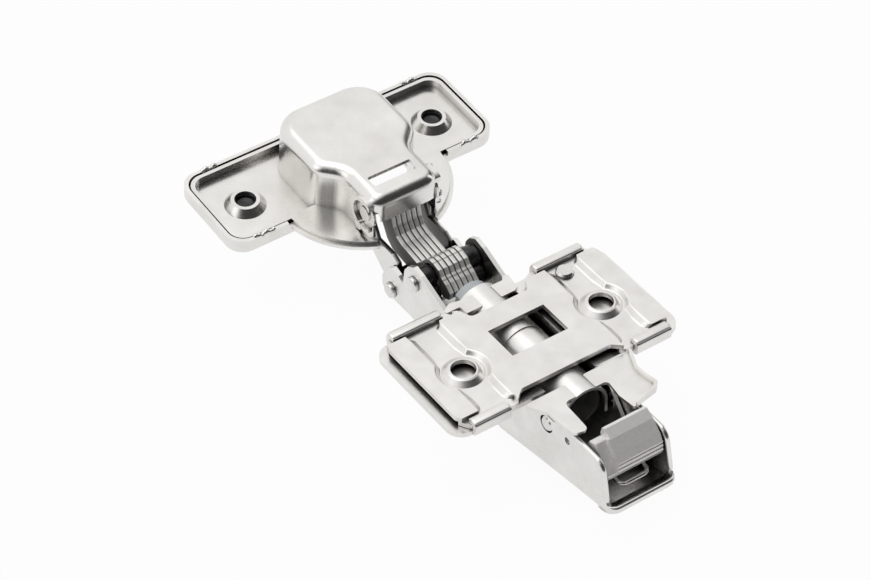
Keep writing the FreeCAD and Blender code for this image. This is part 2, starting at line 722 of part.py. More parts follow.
def make_lever():
    """Release lever: a stepped, ribbed grip on two ears that turn on a cross pin."""
    body = new_body("release_lever")
    y = lever_pivot_y
    z = lever_pivot_z
    grip = [(y - 1.5, z + 8.2), (y - 1.9, z + 9.8), (y - 2.7, z + 10.1), (y - 4.6, z + 9.0),
            (y - 6.9, z + 7.0), (y - 7.8, z + 5.6), (y - 8.2, z + 3.4), (y - 7.5, z + 2.2),
            (y - 5.7, z + 1.8), (y - 4.4, z + 5.2)]
    pad(body, outline(body, "YZ_Plane", grip), lever_half * 2, both=True)
    ear = [(y - 3.0, z + 7.4), (y - 6.3, z + 3.4), (y - 6.3, z + 1.8), (y - 1.6, z - 1.8),
           (y + 0.6, z - 1.9), (y + 2.0, z - 0.6), (y + 2.0, z + 0.8), (y - 1.2, z + 7.0)]
    hub = bracket_half - bracket_sheet - side_gap
    pad(body, outline(body, "YZ_Plane", ear), hub * 2, both=True)
    gap = [(y + 6, z - 6), (y + 6, z + 7.2), (y - 1.0, z + 7.2), (y - 3.9, z + 5.0),
           (y - 5.4, z + 1.0), (y - 5.4, z - 6)]
    pocket(body, outline(body, "YZ_Plane", gap), (hub - lever_wall) * 2, both=True)
    pocket(body, circle(body, "YZ_Plane", (y, z), lever_pin_radius + running_fit), hub * 4, both=True)
    lower = [(y - 1.0, z + 11.0), (y - 5.0, z + 11.0), (y - 4.4, z + 9.0), (y - 3.2, z + 8.3),
             (y - 1.0, z + 7.6)]
    left = outline(body, "YZ_Plane", lower, -lever_half - 1)
    pocket(body, left, 3.8, reverse=True)
    face = [(y - 3.0, z + 11.0), (y - 5.0, z + 11.0), (y - 9.6, z + 6.4), (y - 9.6, z + 3.4),
            (y - 7.5, z + 3.3), (y - 6.0, z + 5.8), (y - 3.6, z + 9.2)]
    recess = outline(body, "YZ_Plane", face, -lever_half - 1)
    pocket(body, recess, 3.2, reverse=True)
    for count in range(3):
        rise = rib_pitch * count
        rib = [(y - 8.8 + 0.18 * rise, z + 3.35 + rise), (y - 7.95 + 0.18 * rise, z + 3.2 + rise),
               (y - 7.85 + 0.18 * rise, z + 3.55 + rise), (y - 8.7 + 0.18 * rise, z + 3.7 + rise)]
        pocket(body, outline(body, "YZ_Plane", rib), lever_half * 3, both=True)
    pin = new_body("lever_pin")
    half = bracket_half
    pad(pin, circle(pin, "YZ_Plane", (y, z), lever_pin_radius), half * 2, both=True)
    new_shape("lever_spring", bent_wire())
    return body


def bent_wire():
    """Wire spring that hooks behind the grip: two legs and a cross bar."""
    y = float(lever_pivot_y)
    z = float(lever_pivot_z)
    half = 3.3
    bend = 1.3
    back = y - 8.1
    floor = z - 0.2
    fore = y - 4.0
    rise = z + 0.6
    start = V(-half, fore, rise)
    corner = V(-half, back, floor)
    other = V(half, back, floor)
    finish = V(half, fore, rise)
    path = wire_path([start, corner, other, finish], bend)
    ring = Part.Wire(Part.Circle(start, corner - start, float(wire_radius)).toShape())
    return Part.Wire(path).makePipeShell([ring], True, False, 2)


def wire_path(points, radius):
    """Straight runs joined by arcs of one radius."""
    edges = []
    last = points[0]
    for index in range(1, len(points) - 1):
        here = points[index]
        before = (points[index - 1] - here).normalize()
        after = (points[index + 1] - here).normalize()
        half = before.getAngle(after) / 2
        reach = radius / math.tan(half)
        inward = (before + after).normalize()
        middle = here + inward * (radius / math.sin(half) - radius)
        edges.append(Part.LineSegment(last, here + before * reach).toShape())
        edges.append(Part.Arc(here + before * reach, middle, here + after * reach).toShape())
        last = here + after * reach
    edges.append(Part.LineSegment(last, points[-1]).toShape())
    return edges


make_bracket()
make_cover()
make_damper()
make_height_cam()
make_lever()


def make_arm():
    """Deep pressed arm: two walls and a bowed web, with lugs at the nose for both pivots."""
    body = new_body("hinge_arm")
    profile = [
        (arm_nose_y, front_pivot_z + 1.9),
        (arm_nose_y, front_pivot_z - 0.6),
        (front_pivot_y + 1.5, arm_nose_z),
        (arm_web_front_y, arm_nose_z),
        (arm_deep_y, arm_deep_z),
        (arm_deep_y - 1.8, arm_deep_z),
        (arm_deep_y - 20.3, arm_deep_z + 3.4),
        (arm_rear_y + 2.4, arm_rear_z - 0.7),
        (arm_rear_y, arm_rear_z + 0.9),
        (arm_rear_y + 1.6, arm_rear_z + 1.7),
        (arm_rear_y + 3.4, arm_top_z - 0.3),
        (arm_rear_y + 4.8, arm_top_z + 0.8),
        (tilt_pivot_y - 3.6, arm_top_z + 0.8),
        (tilt_pivot_y - 2.2, arm_top_z),
        (cam_y + 5.4, arm_top_z),
        (rear_pivot_y - 2.5, rear_pivot_z + 3.6),
        (rear_pivot_y, rear_pivot_z + 4.2),
        (rear_pivot_y + 2.0, rear_pivot_z + 3.0),
        (rear_pivot_y + 3.2, rear_pivot_z + 1.2),
        (rear_pivot_y + 3.8, rear_pivot_z - 3.0),
        (front_pivot_y - 2.6, front_pivot_z + 5.6),
        (front_pivot_y - 0.6, front_pivot_z + 6.2),
        (front_pivot_y + 0.9, front_pivot_z + 5.2),
    ]
    block = pad(body, outline(body, "YZ_Plane", profile), arm_half * 2, both=True)
    sides = float(arm_half)
    lowest = float(arm_nose_z) + 0.02
    round_edges(body, block, 1.2, lambda middle, along: abs(along.x) < 1e-6
                and abs(abs(middle.x) - sides) < 0.01 and middle.z < lowest)
    inner = arm_half - arm_sheet
    skin = arm_sheet
    hollow = [
        (arm_nose_y + 5, arm_nose_z + skin * 3.2),
        (front_pivot_y + 2.8, arm_nose_z + skin * 3.2),
        (front_pivot_y + 0.4, arm_nose_z + skin),
        (arm_web_front_y - 0.1, arm_nose_z + skin),
        (arm_deep_y + 0.1, arm_deep_z + skin),
        (arm_deep_y - 1.8, arm_deep_z + skin),
        (arm_deep_y - 20.3, arm_deep_z + 3.4 + skin),
        (arm_rear_y + 2.3, arm_rear_z - 0.7 + skin),
        (arm_rear_y - 3.0, arm_rear_z + 1.2 + skin),
        (arm_rear_y - 3.0, 5.0),
        (arm_nose_y + 5, 5.0),
    ]
    pocket(body, outline(body, "YZ_Plane", hollow), inner * 2, both=True)
    for side in (-1, 1):
        corner = []
        for step in range(5):
            turn = math.radians(22.5 * step)
            corner.append((side * (arm_half - arm_rear_round * (1 - math.sin(turn))),
                           arm_rear_y + arm_rear_round * (1 - math.cos(turn))))
        corner.append((side * (arm_half + 2), arm_rear_y + arm_rear_round))
        corner.append((side * (arm_half + 2), arm_rear_y - 2))
        corner.append((side * (arm_half - arm_rear_round), arm_rear_y - 2))
        pocket(body, outline(body, "XY_Plane", corner, arm_rear_z - 3), 6.0, reverse=True)
    mouth = [(-inner, arm_web_front_y + 0.9), (inner, arm_web_front_y + 0.9),
             (inner, arm_nose_y + 5), (-inner, arm_nose_y + 5)]
    pocket(body, outline(body, "XY_Plane", mouth, arm_nose_z - 3), 12.0, reverse=True)
    for y, z, radius in (
            (front_pivot_y, front_pivot_z, pin_radius + running_fit),
            (rear_pivot_y, rear_pivot_z, pin_radius + running_fit),
            (tilt_pivot_y, tilt_pivot_z, pin_radius + running_fit + 0.2)):
        pocket(body, circle(body, "YZ_Plane", (y, z), radius), arm_half * 4, both=True)
    stop = circle(body, "YZ_Plane", (tilt_pivot_y - 6.4, tilt_pivot_z + 0.9), as_size(0.75), -arm_half * 2)
    pocket(body, stop, arm_half * 2, reverse=True)
    for y, radius in ((depth_cam_y, cam_head_radius), (side_screw_y, screw_head_radius)):
        pocket(body, circle(body, "XY_Plane", (0.0, y), radius + running_fit, arm_nose_z), 12.0)
    return body


def make_pin(label, y, z, rows):
    """A pin along X turned from a half outline of stations along X and radii."""
    body = new_body(label)
    sketch = outline(body, "XY_Plane", rows)
    feature = body.newObject("PartDesign::Revolution", label + "_turned")
    feature.Profile = (sketch, [""])
    feature.ReferenceAxis = (sketch, ["H_Axis"])
    feature.Angle = 360.0
    sketch.Visibility = False
    place_at(body, 0.0, y, z)
    return body


def make_arm_pins():
    """Two cross pins in the arm's nose, their spacers, and the two stubs the arm tilts on."""
    end = arm_half + rivet_stand
    blunt = 0.35
    make_pin("arm_pin_front", front_pivot_y, front_pivot_z, [
        (-end, 0.0), (end, 0.0), (end, pin_radius - blunt), (end - blunt, pin_radius),
        (-end + blunt, pin_radius), (-end, pin_radius - blunt)])
    shoulder = link_pitch * 3 + 0.12
    make_pin("arm_pin_rear", rear_pivot_y, rear_pivot_z, [
        (-end, 0.0), (end, 0.0), (end, pin_radius - blunt), (end - blunt, pin_radius),
        (shoulder, pin_radius), (shoulder, neck_radius), (-shoulder, neck_radius),
        (-shoulder, pin_radius), (-end + blunt, pin_radius), (-end, pin_radius - blunt)])
    near = link_pitch * 3 + 0.1
    far = arm_half - arm_sheet - 0.1
    bore = pin_radius + running_fit
    for side, label in ((-1, "spacer_left"), (1, "spacer_right")):
        make_pin(label, rear_pivot_y, rear_pivot_z, [
            (side * near, bore), (side * far, bore), (side * far, spacer_radius - 0.3),
            (side * (far - 0.3), spacer_radius), (side * (near + 0.3), spacer_radius),
            (side * near, spacer_radius - 0.3)])
    inner = bracket_half - bracket_sheet + 0.05
    outer = arm_half + 0.1
    for side, label in ((-1, "tilt_stub_left"), (1, "tilt_stub_right")):
        make_pin(label, tilt_pivot_y, tilt_pivot_z, [
            (side * inner, 0.0), (side * outer, 0.0), (side * outer, pin_radius - 0.3),
            (side * (outer - 0.3), pin_radius), (side * inner, pin_radius)])


def make_adjusters():
    """The depth cam and the side screw that are reached through the arm's web."""
    cam = new_body("depth_cam")
    floor = arm_deep_z + 1.0
    seat = floor + 2.6
    top = bracket_web_z - 0.3
    body_rows = [(0.0, floor), (cam_head_radius - 0.4, floor), (cam_head_radius, floor + 0.4),
                 (cam_head_radius, seat), (cam_head_radius - 1.2, seat), (cam_head_radius - 1.2, top),
                 (0.0, top)]
    turned(cam, "Revolution", outline(cam, "XZ_Plane", body_rows))
    pin = circle(cam, "XY_Plane", (cam_throw, 0.0), neck_radius, top)
    pad(cam, pin, bracket_sheet + 0.9)
    cross(cam, floor, 2.3)
    place_at(cam, 0.0, depth_cam_y, 0.0)
    screw = new_body("side_screw")
    low = arm_nose_z - 2.6
    stop = bracket_web_z - 0.75
    rows = [(0.0, low - 1.0), (screw_head_radius - 0.4, low - 1.0), (screw_head_radius, low - 0.6),
            (screw_head_radius, stop - 0.5), (screw_head_radius - 0.5, stop), (0.0, stop)]
    turned(screw, "Revolution", outline(screw, "XZ_Plane", rows))
    cross(screw, low - 1.0, 2.0)
    place_at(screw, 0.0, side_screw_y, 0.0)


def make_outer_link():
    """U-shaped link: two cheeks with horns, joined by a short web under the front pivot."""
    body = new_body("outer_link")
    y = front_pivot_y
    z = front_pivot_z
    far_y, far_z = from_cup(outer_pivot_v, outer_pivot_w)
    cheek = [
        (y - 1.6, z - 2.6), (y + 0.2, z - 3.1), (y + 2.2, z - 2.3),
        (y + 4.2, z + 0.6), (y + 8.4, z + 4.0), (far_y + 1.4, far_z - 1.9),
        (far_y + 2.3, far_z - 0.3), (far_y + 1.7, far_z + 1.6), (far_y + 0.1, far_z + 2.3),
        (far_y - 1.6, far_z + 1.7), (y + 6.6, z + 7.7), (y + 1.4, z + 7.6),
        (y - 0.5, z + 6.6), (y - 0.9, z + 4.8), (y - 2.5, z + 2.2), (y - 3.1, z + 0.2),
    ]
    block = pad(body, outline(body, "YZ_Plane", cheek), outer_link_half * 2, both=True)
    outer = float(outer_link_half)
    horn_y = float(y) + 2.0
    horn_z = float(z) + 7.0
    soft = round_edges(body, block, 0.8, lambda middle, along: crosswise(along)
                       and middle.y < horn_y and middle.z > horn_z)
    gap = outer_link_half - outer_link_sheet
    web = outer_link_sheet
    hollow = [
        (y - 5, z - 1.6), (y - 1.2, z - 1.9), (y + 1.0, z - 1.8), (y + 3.2, z + 1.3), (y + 5.2, z - 4),
        (far_y + 6, far_z - 6), (far_y + 6, far_z + 6), (y - 5, far_z + 6),
    ]
    pocket(body, outline(body, "YZ_Plane", hollow), gap * 2, both=True)
    for centre, radius in (((y, z), pin_radius), ((far_y, far_z), cup_pin_radius)):
        pocket(body, circle(body, "YZ_Plane", centre, radius + running_fit), outer_link_half * 4, both=True)
    del soft, outer, web
    return body


def make_inner_link():
    """One plate of the laminated link, repeated side by side across the stack."""
    y = rear_pivot_y
    z = rear_pivot_z
    eye_y, eye_z = from_cup(inner_pivot_v, inner_pivot_w)
    plate = [
        (eye_y - 1.9, eye_z + 0.9), (eye_y - 0.9, eye_z + 1.9), (eye_y + 0.7, eye_z + 2.0),
        (eye_y + 1.9, eye_z + 0.9), (eye_y + 2.1, eye_z - 0.6), (eye_y + 1.0, eye_z - 3.6),
        (y + 15.4, z - 1.6), (y + 13.6, z - 3.1), (y + 9.6, z - 3.7), (y + 6.4, z - 4.0),
        (y + 3.6, z - 3.5), (y + 1.4, z - 3.3), (y - 0.6, z - 3.4), (y - 2.6, z - 2.5),
        (y - 4.4, z - 2.7), (y - 5.9, z - 2.0), (y - 6.1, z - 0.4), (y - 4.6, z + 0.9),
        (y - 3.1, z + 1.7), (y - 2.3, z + 2.9), (y - 0.6, z + 3.4), (y + 0.8, z + 3.4),
        (y + 2.1, z + 2.7), (y + 3.3, z + 1.1), (y + 5.1, z - 0.65), (y + 8.1, z - 0.2),
        (y + 10.4, z + 0.1), (y + 12.3, z + 0.9), (y + 13.4, z + 2.5),
    ]
    for count in range(LINK_COUNT):
        body = new_body("inner_link_%d" % (count + 1))
        station = link_pitch * (count - (LINK_COUNT - 1) / 2)
        blank = outline(body, "YZ_Plane", plate, station - link_plate / 2)
        pad(body, blank, link_plate)
        eye = circle(body, "YZ_Plane", (eye_y, eye_z), cup_pin_radius + running_fit, station + link_pitch)
        pocket(body, eye, link_pitch * 2)
        knuckle = circle(body, "YZ_Plane", (y, z), neck_radius + knuckle_play, station + link_pitch)
        pocket(body, knuckle, link_pitch * 2)


make_arm()
make_arm_pins()
make_adjusters()
make_outer_link()
make_inner_link()


def rounded_rectangle(inset, low, high):
    """The wings' outline, drawn in from the face plate's edge, as a slab."""
    x = float(face_half_length) - inset
    front = float(face_front_v) + inset
    back = float(face_back_v) - inset
    corner = float(face_corner) - inset * 0.6
    points = [(-x, front), (x, front), (x, back), (-x, back)]
    return rounded_slab(points, [corner] * 4, low, high)


def disc(radius, low, high):
    """A round slab about the cup's centre."""
    return upright_bar(radius, low, high, 0.0, float(cup_centre_v))


def housing(inset, low, high):
    """The drawn box of the cup: wide behind, narrow towards the arm, its top well rounded."""
    wide = float(housing_half_wide) - inset
    slim = float(housing_half_narrow) - inset
    front = float(housing_front_v) + inset
    back = float(housing_back_v) - inset
    waist_front = float(housing_waist_v) - 2.1
    waist_back = float(housing_waist_v) + 2.1
    foot = [(-slim, front), (slim, front), (slim, waist_front), (wide, waist_back), (wide, back),
            (-wide, back), (-wide, waist_back), (-slim, waist_front)]
    draft = float(housing_draft)
    top = [(-slim + draft, front + draft), (slim - draft, front + draft),
           (slim - draft, waist_front - draft), (wide - draft, waist_back - draft),
           (wide - draft, back - draft), (-wide + draft, back - draft),
           (-wide + draft, waist_back - draft), (-slim + draft, waist_front - draft)]
    nose = float(housing_nose) - inset
    waist = float(housing_waist)
    heel = float(housing_heel) - inset
    radii = [nose, nose, waist + inset, waist, heel, heel, waist, waist + inset]
    lower = rounded_wire(foot, radii, low)
    upper = rounded_wire(top, radii, high)
    solid = Part.makeLoft([lower, upper], True, True)
    crest = [edge for edge in solid.Edges if min(v.Z for v in edge.Vertexes) > high - 0.01]
    return solid.makeFillet(float(housing_crest) - inset, crest)


def make_cup_body():
    """Inner sheet of the cup: trays for the door screws, a round flange and the tall housing."""
    sheet = float(cup_sheet)
    step = float(cup_sheet + rim_gap)
    front = float(face_front_v) + step
    top = float(cup_disc_top)
    outer = rounded_rectangle(step, -sheet, top)
    flange = disc(cup_disc_radius, top - sheet, top)
    outer = outer.fuse(flange.common(box(-30, 30, -40, front + sheet, -2, 12)))
    outer = outer.cut(rounded_rectangle(step + sheet, 0.0, top + 1))
    outer = outer.fuse(housing(0.0, -sheet, float(cup_depth)))
    for side in (-1, 1):
        x = side * float(door_screw_spacing) / 2
        outer = outer.fuse(door_boss(x, float(door_boss_radius), 0.0))
    hollow = housing(sheet, -sheet - 0.5, float(cup_depth) - sheet)
    tools = [hollow, mouth_slot(-sheet - 0.5), top_slot()]
    for side in (-1, 1):
        x = side * float(door_screw_spacing) / 2
        tools.append(upright_bar(door_hole_radius, -sheet - 1, 4.0, x, 0.0))
        tools.append(Part.makeCone(float(door_boss_radius) - 0.5, float(door_hole_radius) + 0.1,
                                   float(door_boss_height) + 0.2, V(x, 0, -sheet - 0.1)))
    v = float(inner_pivot_v)
    w = float(inner_pivot_w)
    wall = float(housing_half_narrow)
    corner = box(-wall - 1, wall + 1, float(housing_front_v) + 1.4, 0.0, 0.0, 12.0)
    for side in (-1, 1):
        low, high = sorted((side * (wall - 1.6), side * (wall + 0.3)))
        outer = outer.fuse(bar(eye_lip_radius, low, high, v, w).common(corner))
    tools.append(box(-wall + sheet, wall - sheet, float(housing_front_v) + sheet, v + 5, w - 5,
                     float(cup_depth) - 3.2))
    tools.append(bar(eye_window_radius, -wall - 1, wall + 1, v, w))
    tools.append(bar(cup_pin_radius + running_fit, -wall - 1, wall + 1,
                     float(outer_pivot_v), float(outer_pivot_w)))
    shape = outer
    for tool in tools:
        shape = shape.cut(tool)
    piece = new_shape("cup_body", shape.removeSplitter())
    set_in_cup(piece)


def door_boss(x, radius, floor):
    """The raised cone round a door screw hole."""
    top = float(door_hole_radius) + 0.75
    return Part.makeCone(radius, top, float(door_boss_height), V(x, 0, floor))


def mouth_slot(low):
    """The open mouth in front, where both links come out."""
    half = float(mouth_half)
    high = float(mouth_height)
    slot = box(-half, half, -32.0, float(housing_front_v) + 4.0, low, high)
    edges = [edge for edge in slot.Edges
             if abs(edge.Vertexes[0].Z - high) < 0.01 and abs(edge.Vertexes[-1].Z - high) < 0.01
             and abs(edge.Vertexes[0].X - edge.Vertexes[-1].X) < 0.01]
    return slot.makeFillet(1.0, edges)


def top_slot():
    """The long slot across the top of the housing."""
    points = [(-5.0, -19.6), (5.0, -19.6), (5.0, -16.8), (-5.0, -16.8)]
    return rounded_slab(points, [0.4] * 4, float(cup_depth) - 3, float(cup_depth) + 2)


def make_face_plate():
    """Outer skin of the cup flange: two trays with their edge turned up, and a round middle."""
    sheet = float(cup_sheet)
    low = -2 * sheet
    high = float(cup_disc_top) - sheet - 0.02
    front = float(face_front_v)
    plate = rounded_rectangle(0.0, low, float(face_rim))
    lower = [edge for edge in plate.Edges if max(v.Z for v in edge.Vertexes) < low + 0.01]
    plate = plate.makeFillet(float(face_round), lower)
    ahead = box(-30, 30, -40, front + sheet, low, high)
    plate = plate.fuse(disc(face_disc_radius, high - sheet, high).common(ahead))
    plate = plate.cut(rounded_rectangle(sheet, -sheet, float(face_rim) + 1))
    reach = math.sqrt(float(face_disc_radius) ** 2 - (front - float(cup_centre_v)) ** 2)
    plate = plate.cut(box(-reach - 0.6, reach + 0.6, -40, front + sheet + 0.1, high, 9))
    plate = plate.cut(housing(-0.02, -sheet, float(cup_depth)))
    plate = plate.cut(housing(sheet, -4.0, 9.0))
    plate = plate.cut(mouth_slot(-4.0))
    for side in (-1, 1):
        x = side * float(door_screw_spacing) / 2
        plate = plate.cut(upright_bar(door_hole_radius + 0.15, -4, 0, x, 0.0))
    piece = new_shape("face_plate", plate.removeSplitter())
    set_in_cup(piece)


def make_cup_pins():
    """The headed pin of the laminated link, its two bushes, and the stubs of the outer link."""
    wall = float(housing_half_narrow)
    v = float(inner_pivot_v)
    w = float(inner_pivot_w)
    seat = wall - 0.5
    end = wall - 0.15
    pin = bar(cup_pin_radius, -end, end, v, w)
    for side in (-1, 1):
        low, high = sorted((side * (seat + 0.02), side * end))
        pin = pin.fuse(bar(cup_pin_radius + 0.5, low, high, v, w))
    piece = new_shape("cup_pin_inner", pin.removeSplitter())
    set_in_cup(piece)
    for side, name in ((-1, "left"), (1, "right")):
        low, high = sorted((side * (wall - 1.0), side * seat))
        ring = bar(eye_window_radius - running_fit, low, high, v, w)
        ring = ring.cut(bar(cup_pin_radius + running_fit, low - 1, high + 1, v, w))
        ring = new_shape("pin_bush_" + name, ring)
        set_in_cup(ring)
        inner = float(outer_link_half - outer_link_sheet) - 0.3
        low, high = sorted((side * inner, side * (wall + 0.3)))
        stub = bar(cup_pin_radius, low, high, float(outer_pivot_v), float(outer_pivot_w))
        stub = new_shape("cup_stub_" + name, stub)
        set_in_cup(stub)


make_cup_body()
make_face_plate()
make_cup_pins()


def check_and_write():
    """Refuse any failed or empty shape, then write each sub-part to its own file."""
    DOC.recompute()
    faults = []
    for item in DOC.Objects:
        state = " ".join(item.State)
        if "Invalid" in state or "Error" in state:
            faults.append("%s is %s" % (item.Name, state))
    for piece in NODES:
        shape = piece.Shape
        if shape.isNull() or not shape.isValid() or not shape.Solids:
            faults.append("%s has no valid solid" % piece.Label)
        elif len(shape.Solids) != 1:
            faults.append("%s has %d solids" % (piece.Label, len(shape.Solids)))
    if faults:
        raise RuntimeError("; ".join(faults))
    os.makedirs("parts", exist_ok=True)
    for piece in NODES:
        piece.Shape.exportStep("parts/%s.step" % piece.Label)
        size = piece.Shape.BoundBox
        print("%-18s %8.1f mm3  x %6.1f %6.1f  y %6.1f %6.1f  z %6.1f %6.1f" % (
            piece.Label, piece.Shape.Volume, size.XMin, size.XMax, size.YMin, size.YMax,
            size.ZMin, size.ZMax))


check_and_write()
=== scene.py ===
# %% [markdown]
# # Dressing a concealed cabinet hinge
# The hinge lies on its back with its mounting plate up. Almost all of it is
# nickel plated steel, so the picture is made by three things: the shapes, which
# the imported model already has, the plated finish, and what the bare metal
# reflects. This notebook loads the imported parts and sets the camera. Then it
# gives every part its own finish worked out from its position, adds the thin
# pieces that are easier to draw as surfaces, and lights a plain white studio.

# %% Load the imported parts
import math

import bpy
import numpy as np
from mathutils import Matrix, Vector


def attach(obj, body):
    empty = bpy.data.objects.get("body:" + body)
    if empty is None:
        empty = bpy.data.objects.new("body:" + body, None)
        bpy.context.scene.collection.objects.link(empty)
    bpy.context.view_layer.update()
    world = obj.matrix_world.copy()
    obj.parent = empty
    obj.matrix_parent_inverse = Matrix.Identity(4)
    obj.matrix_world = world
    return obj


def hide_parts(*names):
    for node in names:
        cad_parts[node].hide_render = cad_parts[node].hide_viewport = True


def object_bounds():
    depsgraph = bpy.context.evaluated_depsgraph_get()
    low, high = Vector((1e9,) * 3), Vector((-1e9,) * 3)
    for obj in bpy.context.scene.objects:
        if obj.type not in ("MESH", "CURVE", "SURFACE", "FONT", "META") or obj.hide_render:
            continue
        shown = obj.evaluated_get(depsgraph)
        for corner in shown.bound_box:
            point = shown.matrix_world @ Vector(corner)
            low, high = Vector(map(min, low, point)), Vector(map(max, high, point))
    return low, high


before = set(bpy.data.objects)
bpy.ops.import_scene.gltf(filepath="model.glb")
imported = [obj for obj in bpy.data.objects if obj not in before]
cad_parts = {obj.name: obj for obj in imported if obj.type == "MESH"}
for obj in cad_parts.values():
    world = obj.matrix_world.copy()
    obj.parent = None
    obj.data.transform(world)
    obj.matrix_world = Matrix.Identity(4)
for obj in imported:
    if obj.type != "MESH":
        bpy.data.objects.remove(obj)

cad_low, cad_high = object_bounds()
MM = 0.001              # metres in a millimetre
print("packed model, mm:", [round((b - a) / MM, 1) for a, b in zip(cad_low, cad_high)])

# %% [markdown]
# ## The camera
# The photograph was taken with a long lens from the lever's end, 35 degrees to
# the left of the hinge's length and 43 degrees above it. A long lens keeps the
# edges of the plate nearly parallel. The camera is written as a place and three
# directions, so it can be checked against the photograph corner by corner.

# %% Camera
IMAGE = (870, 580)
FOCAL_PIXELS = 2860.3
SENSOR = 36.0
camera_place = Vector((-235.4, -306.5, 371.9)) * MM
right = Vector((0.8211, -0.5707, 0.0)).normalized()
back = Vector((-0.4171, -0.6002, 0.6825)).normalized()
up = back.cross(right).normalized()

lens = bpy.data.cameras.new("studio_camera")
lens.sensor_width = SENSOR
lens.lens = FOCAL_PIXELS * SENSOR / IMAGE[0]
lens.clip_start, lens.clip_end = 0.01, 20.0
camera = bpy.data.objects.new("studio_camera", lens)
camera.matrix_world = Matrix((
    (right.x, up.x, back.x, camera_place.x),
    (right.y, up.y, back.y, camera_place.y),
    (right.z, up.z, back.z, camera_place.z),
    (0, 0, 0, 1)))
bpy.context.scene.collection.objects.link(camera)
bpy.context.scene.camera = camera
print("lens, mm:", round(lens.lens, 1))

# %% [markdown]
# ## Writing shader maths as sums
# A finish is a formula: how light or how rough the metal is at a place. Blender
# draws such formulas as boxes and wires, which are slow to read. A small class
# stands for one wire, and adding or multiplying it makes the Math node, so a
# finish below reads like the formula it is.

# %% Wires that can be added and multiplied
class Wire:
    """One output of a node. Arithmetic on it adds Math nodes to the same tree."""

    def __init__(self, finish, socket):
        self.finish, self.socket = finish, socket

    def maths(self, operation, *values):
        """A Math node of this operation on the values."""
        return self.finish.node("ShaderNodeMath", {"operation": operation}, *values)

    def __abs__(self):
        return self.maths("ABSOLUTE", self)

    def __add__(self, other):
        return self.maths("ADD", self, other)

    def __sub__(self, other):
        return self.maths("SUBTRACT", self, other)

    def __rsub__(self, other):
        return self.maths("SUBTRACT", other, self)

    def __mul__(self, other):
        return self.maths("MULTIPLY", self, other)

    __radd__, __rmul__ = __add__, __mul__


# %% [markdown]
# ## One method for every other node
# A node needs three things: its type, its settings, and what its sockets hold.
# The settings come first, because some of them change which sockets there are.
# The other methods are the few mixtures of nodes that the finishes share. All
# patterns read Object coordinates in millimetres, so they stay on the metal
# when a part moves.

# %% Finishes
# A Mix node has this many sockets for numbers and vectors between its factor and its colours.
MIX_NUMBERS = 5
OPENNESS_RAYS = 8


class Finish:
    """The node tree of one material, or of the world, and the ways to add to it."""

    def __init__(self, owner):
        owner.use_nodes = True
        self.owner, self.tree = owner, owner.node_tree
        self.shader = self.tree.nodes.get("Principled BSDF")

    def node(self, kind, settings, *values, out=0, **named):
        """Adds a node: its settings first, then its sockets in order or by name."""
        made = self.tree.nodes.new(kind)
        for key, value in settings.items():
            setattr(made, key, value)
        for index, value in enumerate(values):
            self.feed(made.inputs[index], value)
        for key, value in named.items():
            self.feed(made.inputs[key.replace("_", " ")], value)
        return Wire(self, made.outputs[out])

    def feed(self, socket, value):
        """Links a wire to a socket, or writes a plain value on it. None leaves it alone."""
        if isinstance(value, Wire):
            self.tree.links.new(value.socket, socket)
        elif value is not None:
            socket.default_value = value

    def place(self, stretch=(1, 1, 1)):
        """Object coordinates in millimetres, stretched along each axis."""
        here = self.node("ShaderNodeTexCoord", {}, out="Object")
        return self.node("ShaderNodeMapping", {}, Vector=here, Scale=[s / MM for s in stretch])

    def across(self):
        """Millimetres to the right of the hinge's middle plane."""
        return self.node("ShaderNodeSeparateXYZ", {}, self.place(), out="X")

    def noise(self, size, detail=2.0):
        """Smooth noise from 0 to 1 whose blobs are about size millimetres across."""
        return self.node("ShaderNodeTexNoise", {}, Vector=self.place(), Scale=1.0 / size,
                         Detail=detail)

    def ramp(self, wire, low, high, start=0.0, end=1.0):
        """A straight change from start to end while the wire goes from low to high."""
        return self.node("ShaderNodeMapRange", {"clamp": True}, wire, low, high, start, end)

    def tint(self, amount, first, second):
        """The colour between two colours or colour wires, amount 0 giving the first."""
        first, second = (c if isinstance(c, Wire) else (*c, 1) for c in (first, second))
        return self.node("ShaderNodeMix", {"data_type": "RGBA"}, amount, *[None] * MIX_NUMBERS,
                         first, second, out=2)

    def openness(self, reach, shut=0.18, clear=0.55):
        """0 deep in a slot, 1 in the open: the free share of reach millimetres, shut to clear."""
        free = self.node("ShaderNodeAmbientOcclusion", {"samples": OPENNESS_RAYS}, out="AO",
                         Distance=reach * MM)
        return self.ramp(free, shut, clear)

    def bump(self, height, depth, below=None):
        """A bump of depth millimetres where the height wire is 1, on top of the one below."""
        return self.node("ShaderNodeBump", {}, Height=height, Distance=depth * MM, Strength=1.0,
                         Normal=below)

    def set(self, **sockets):
        """Writes or links sockets of the shader; an underscore stands for a space."""
        for name, value in sockets.items():
            self.feed(self.shader.inputs[name.replace("_", " ")], value)
        return self.owner
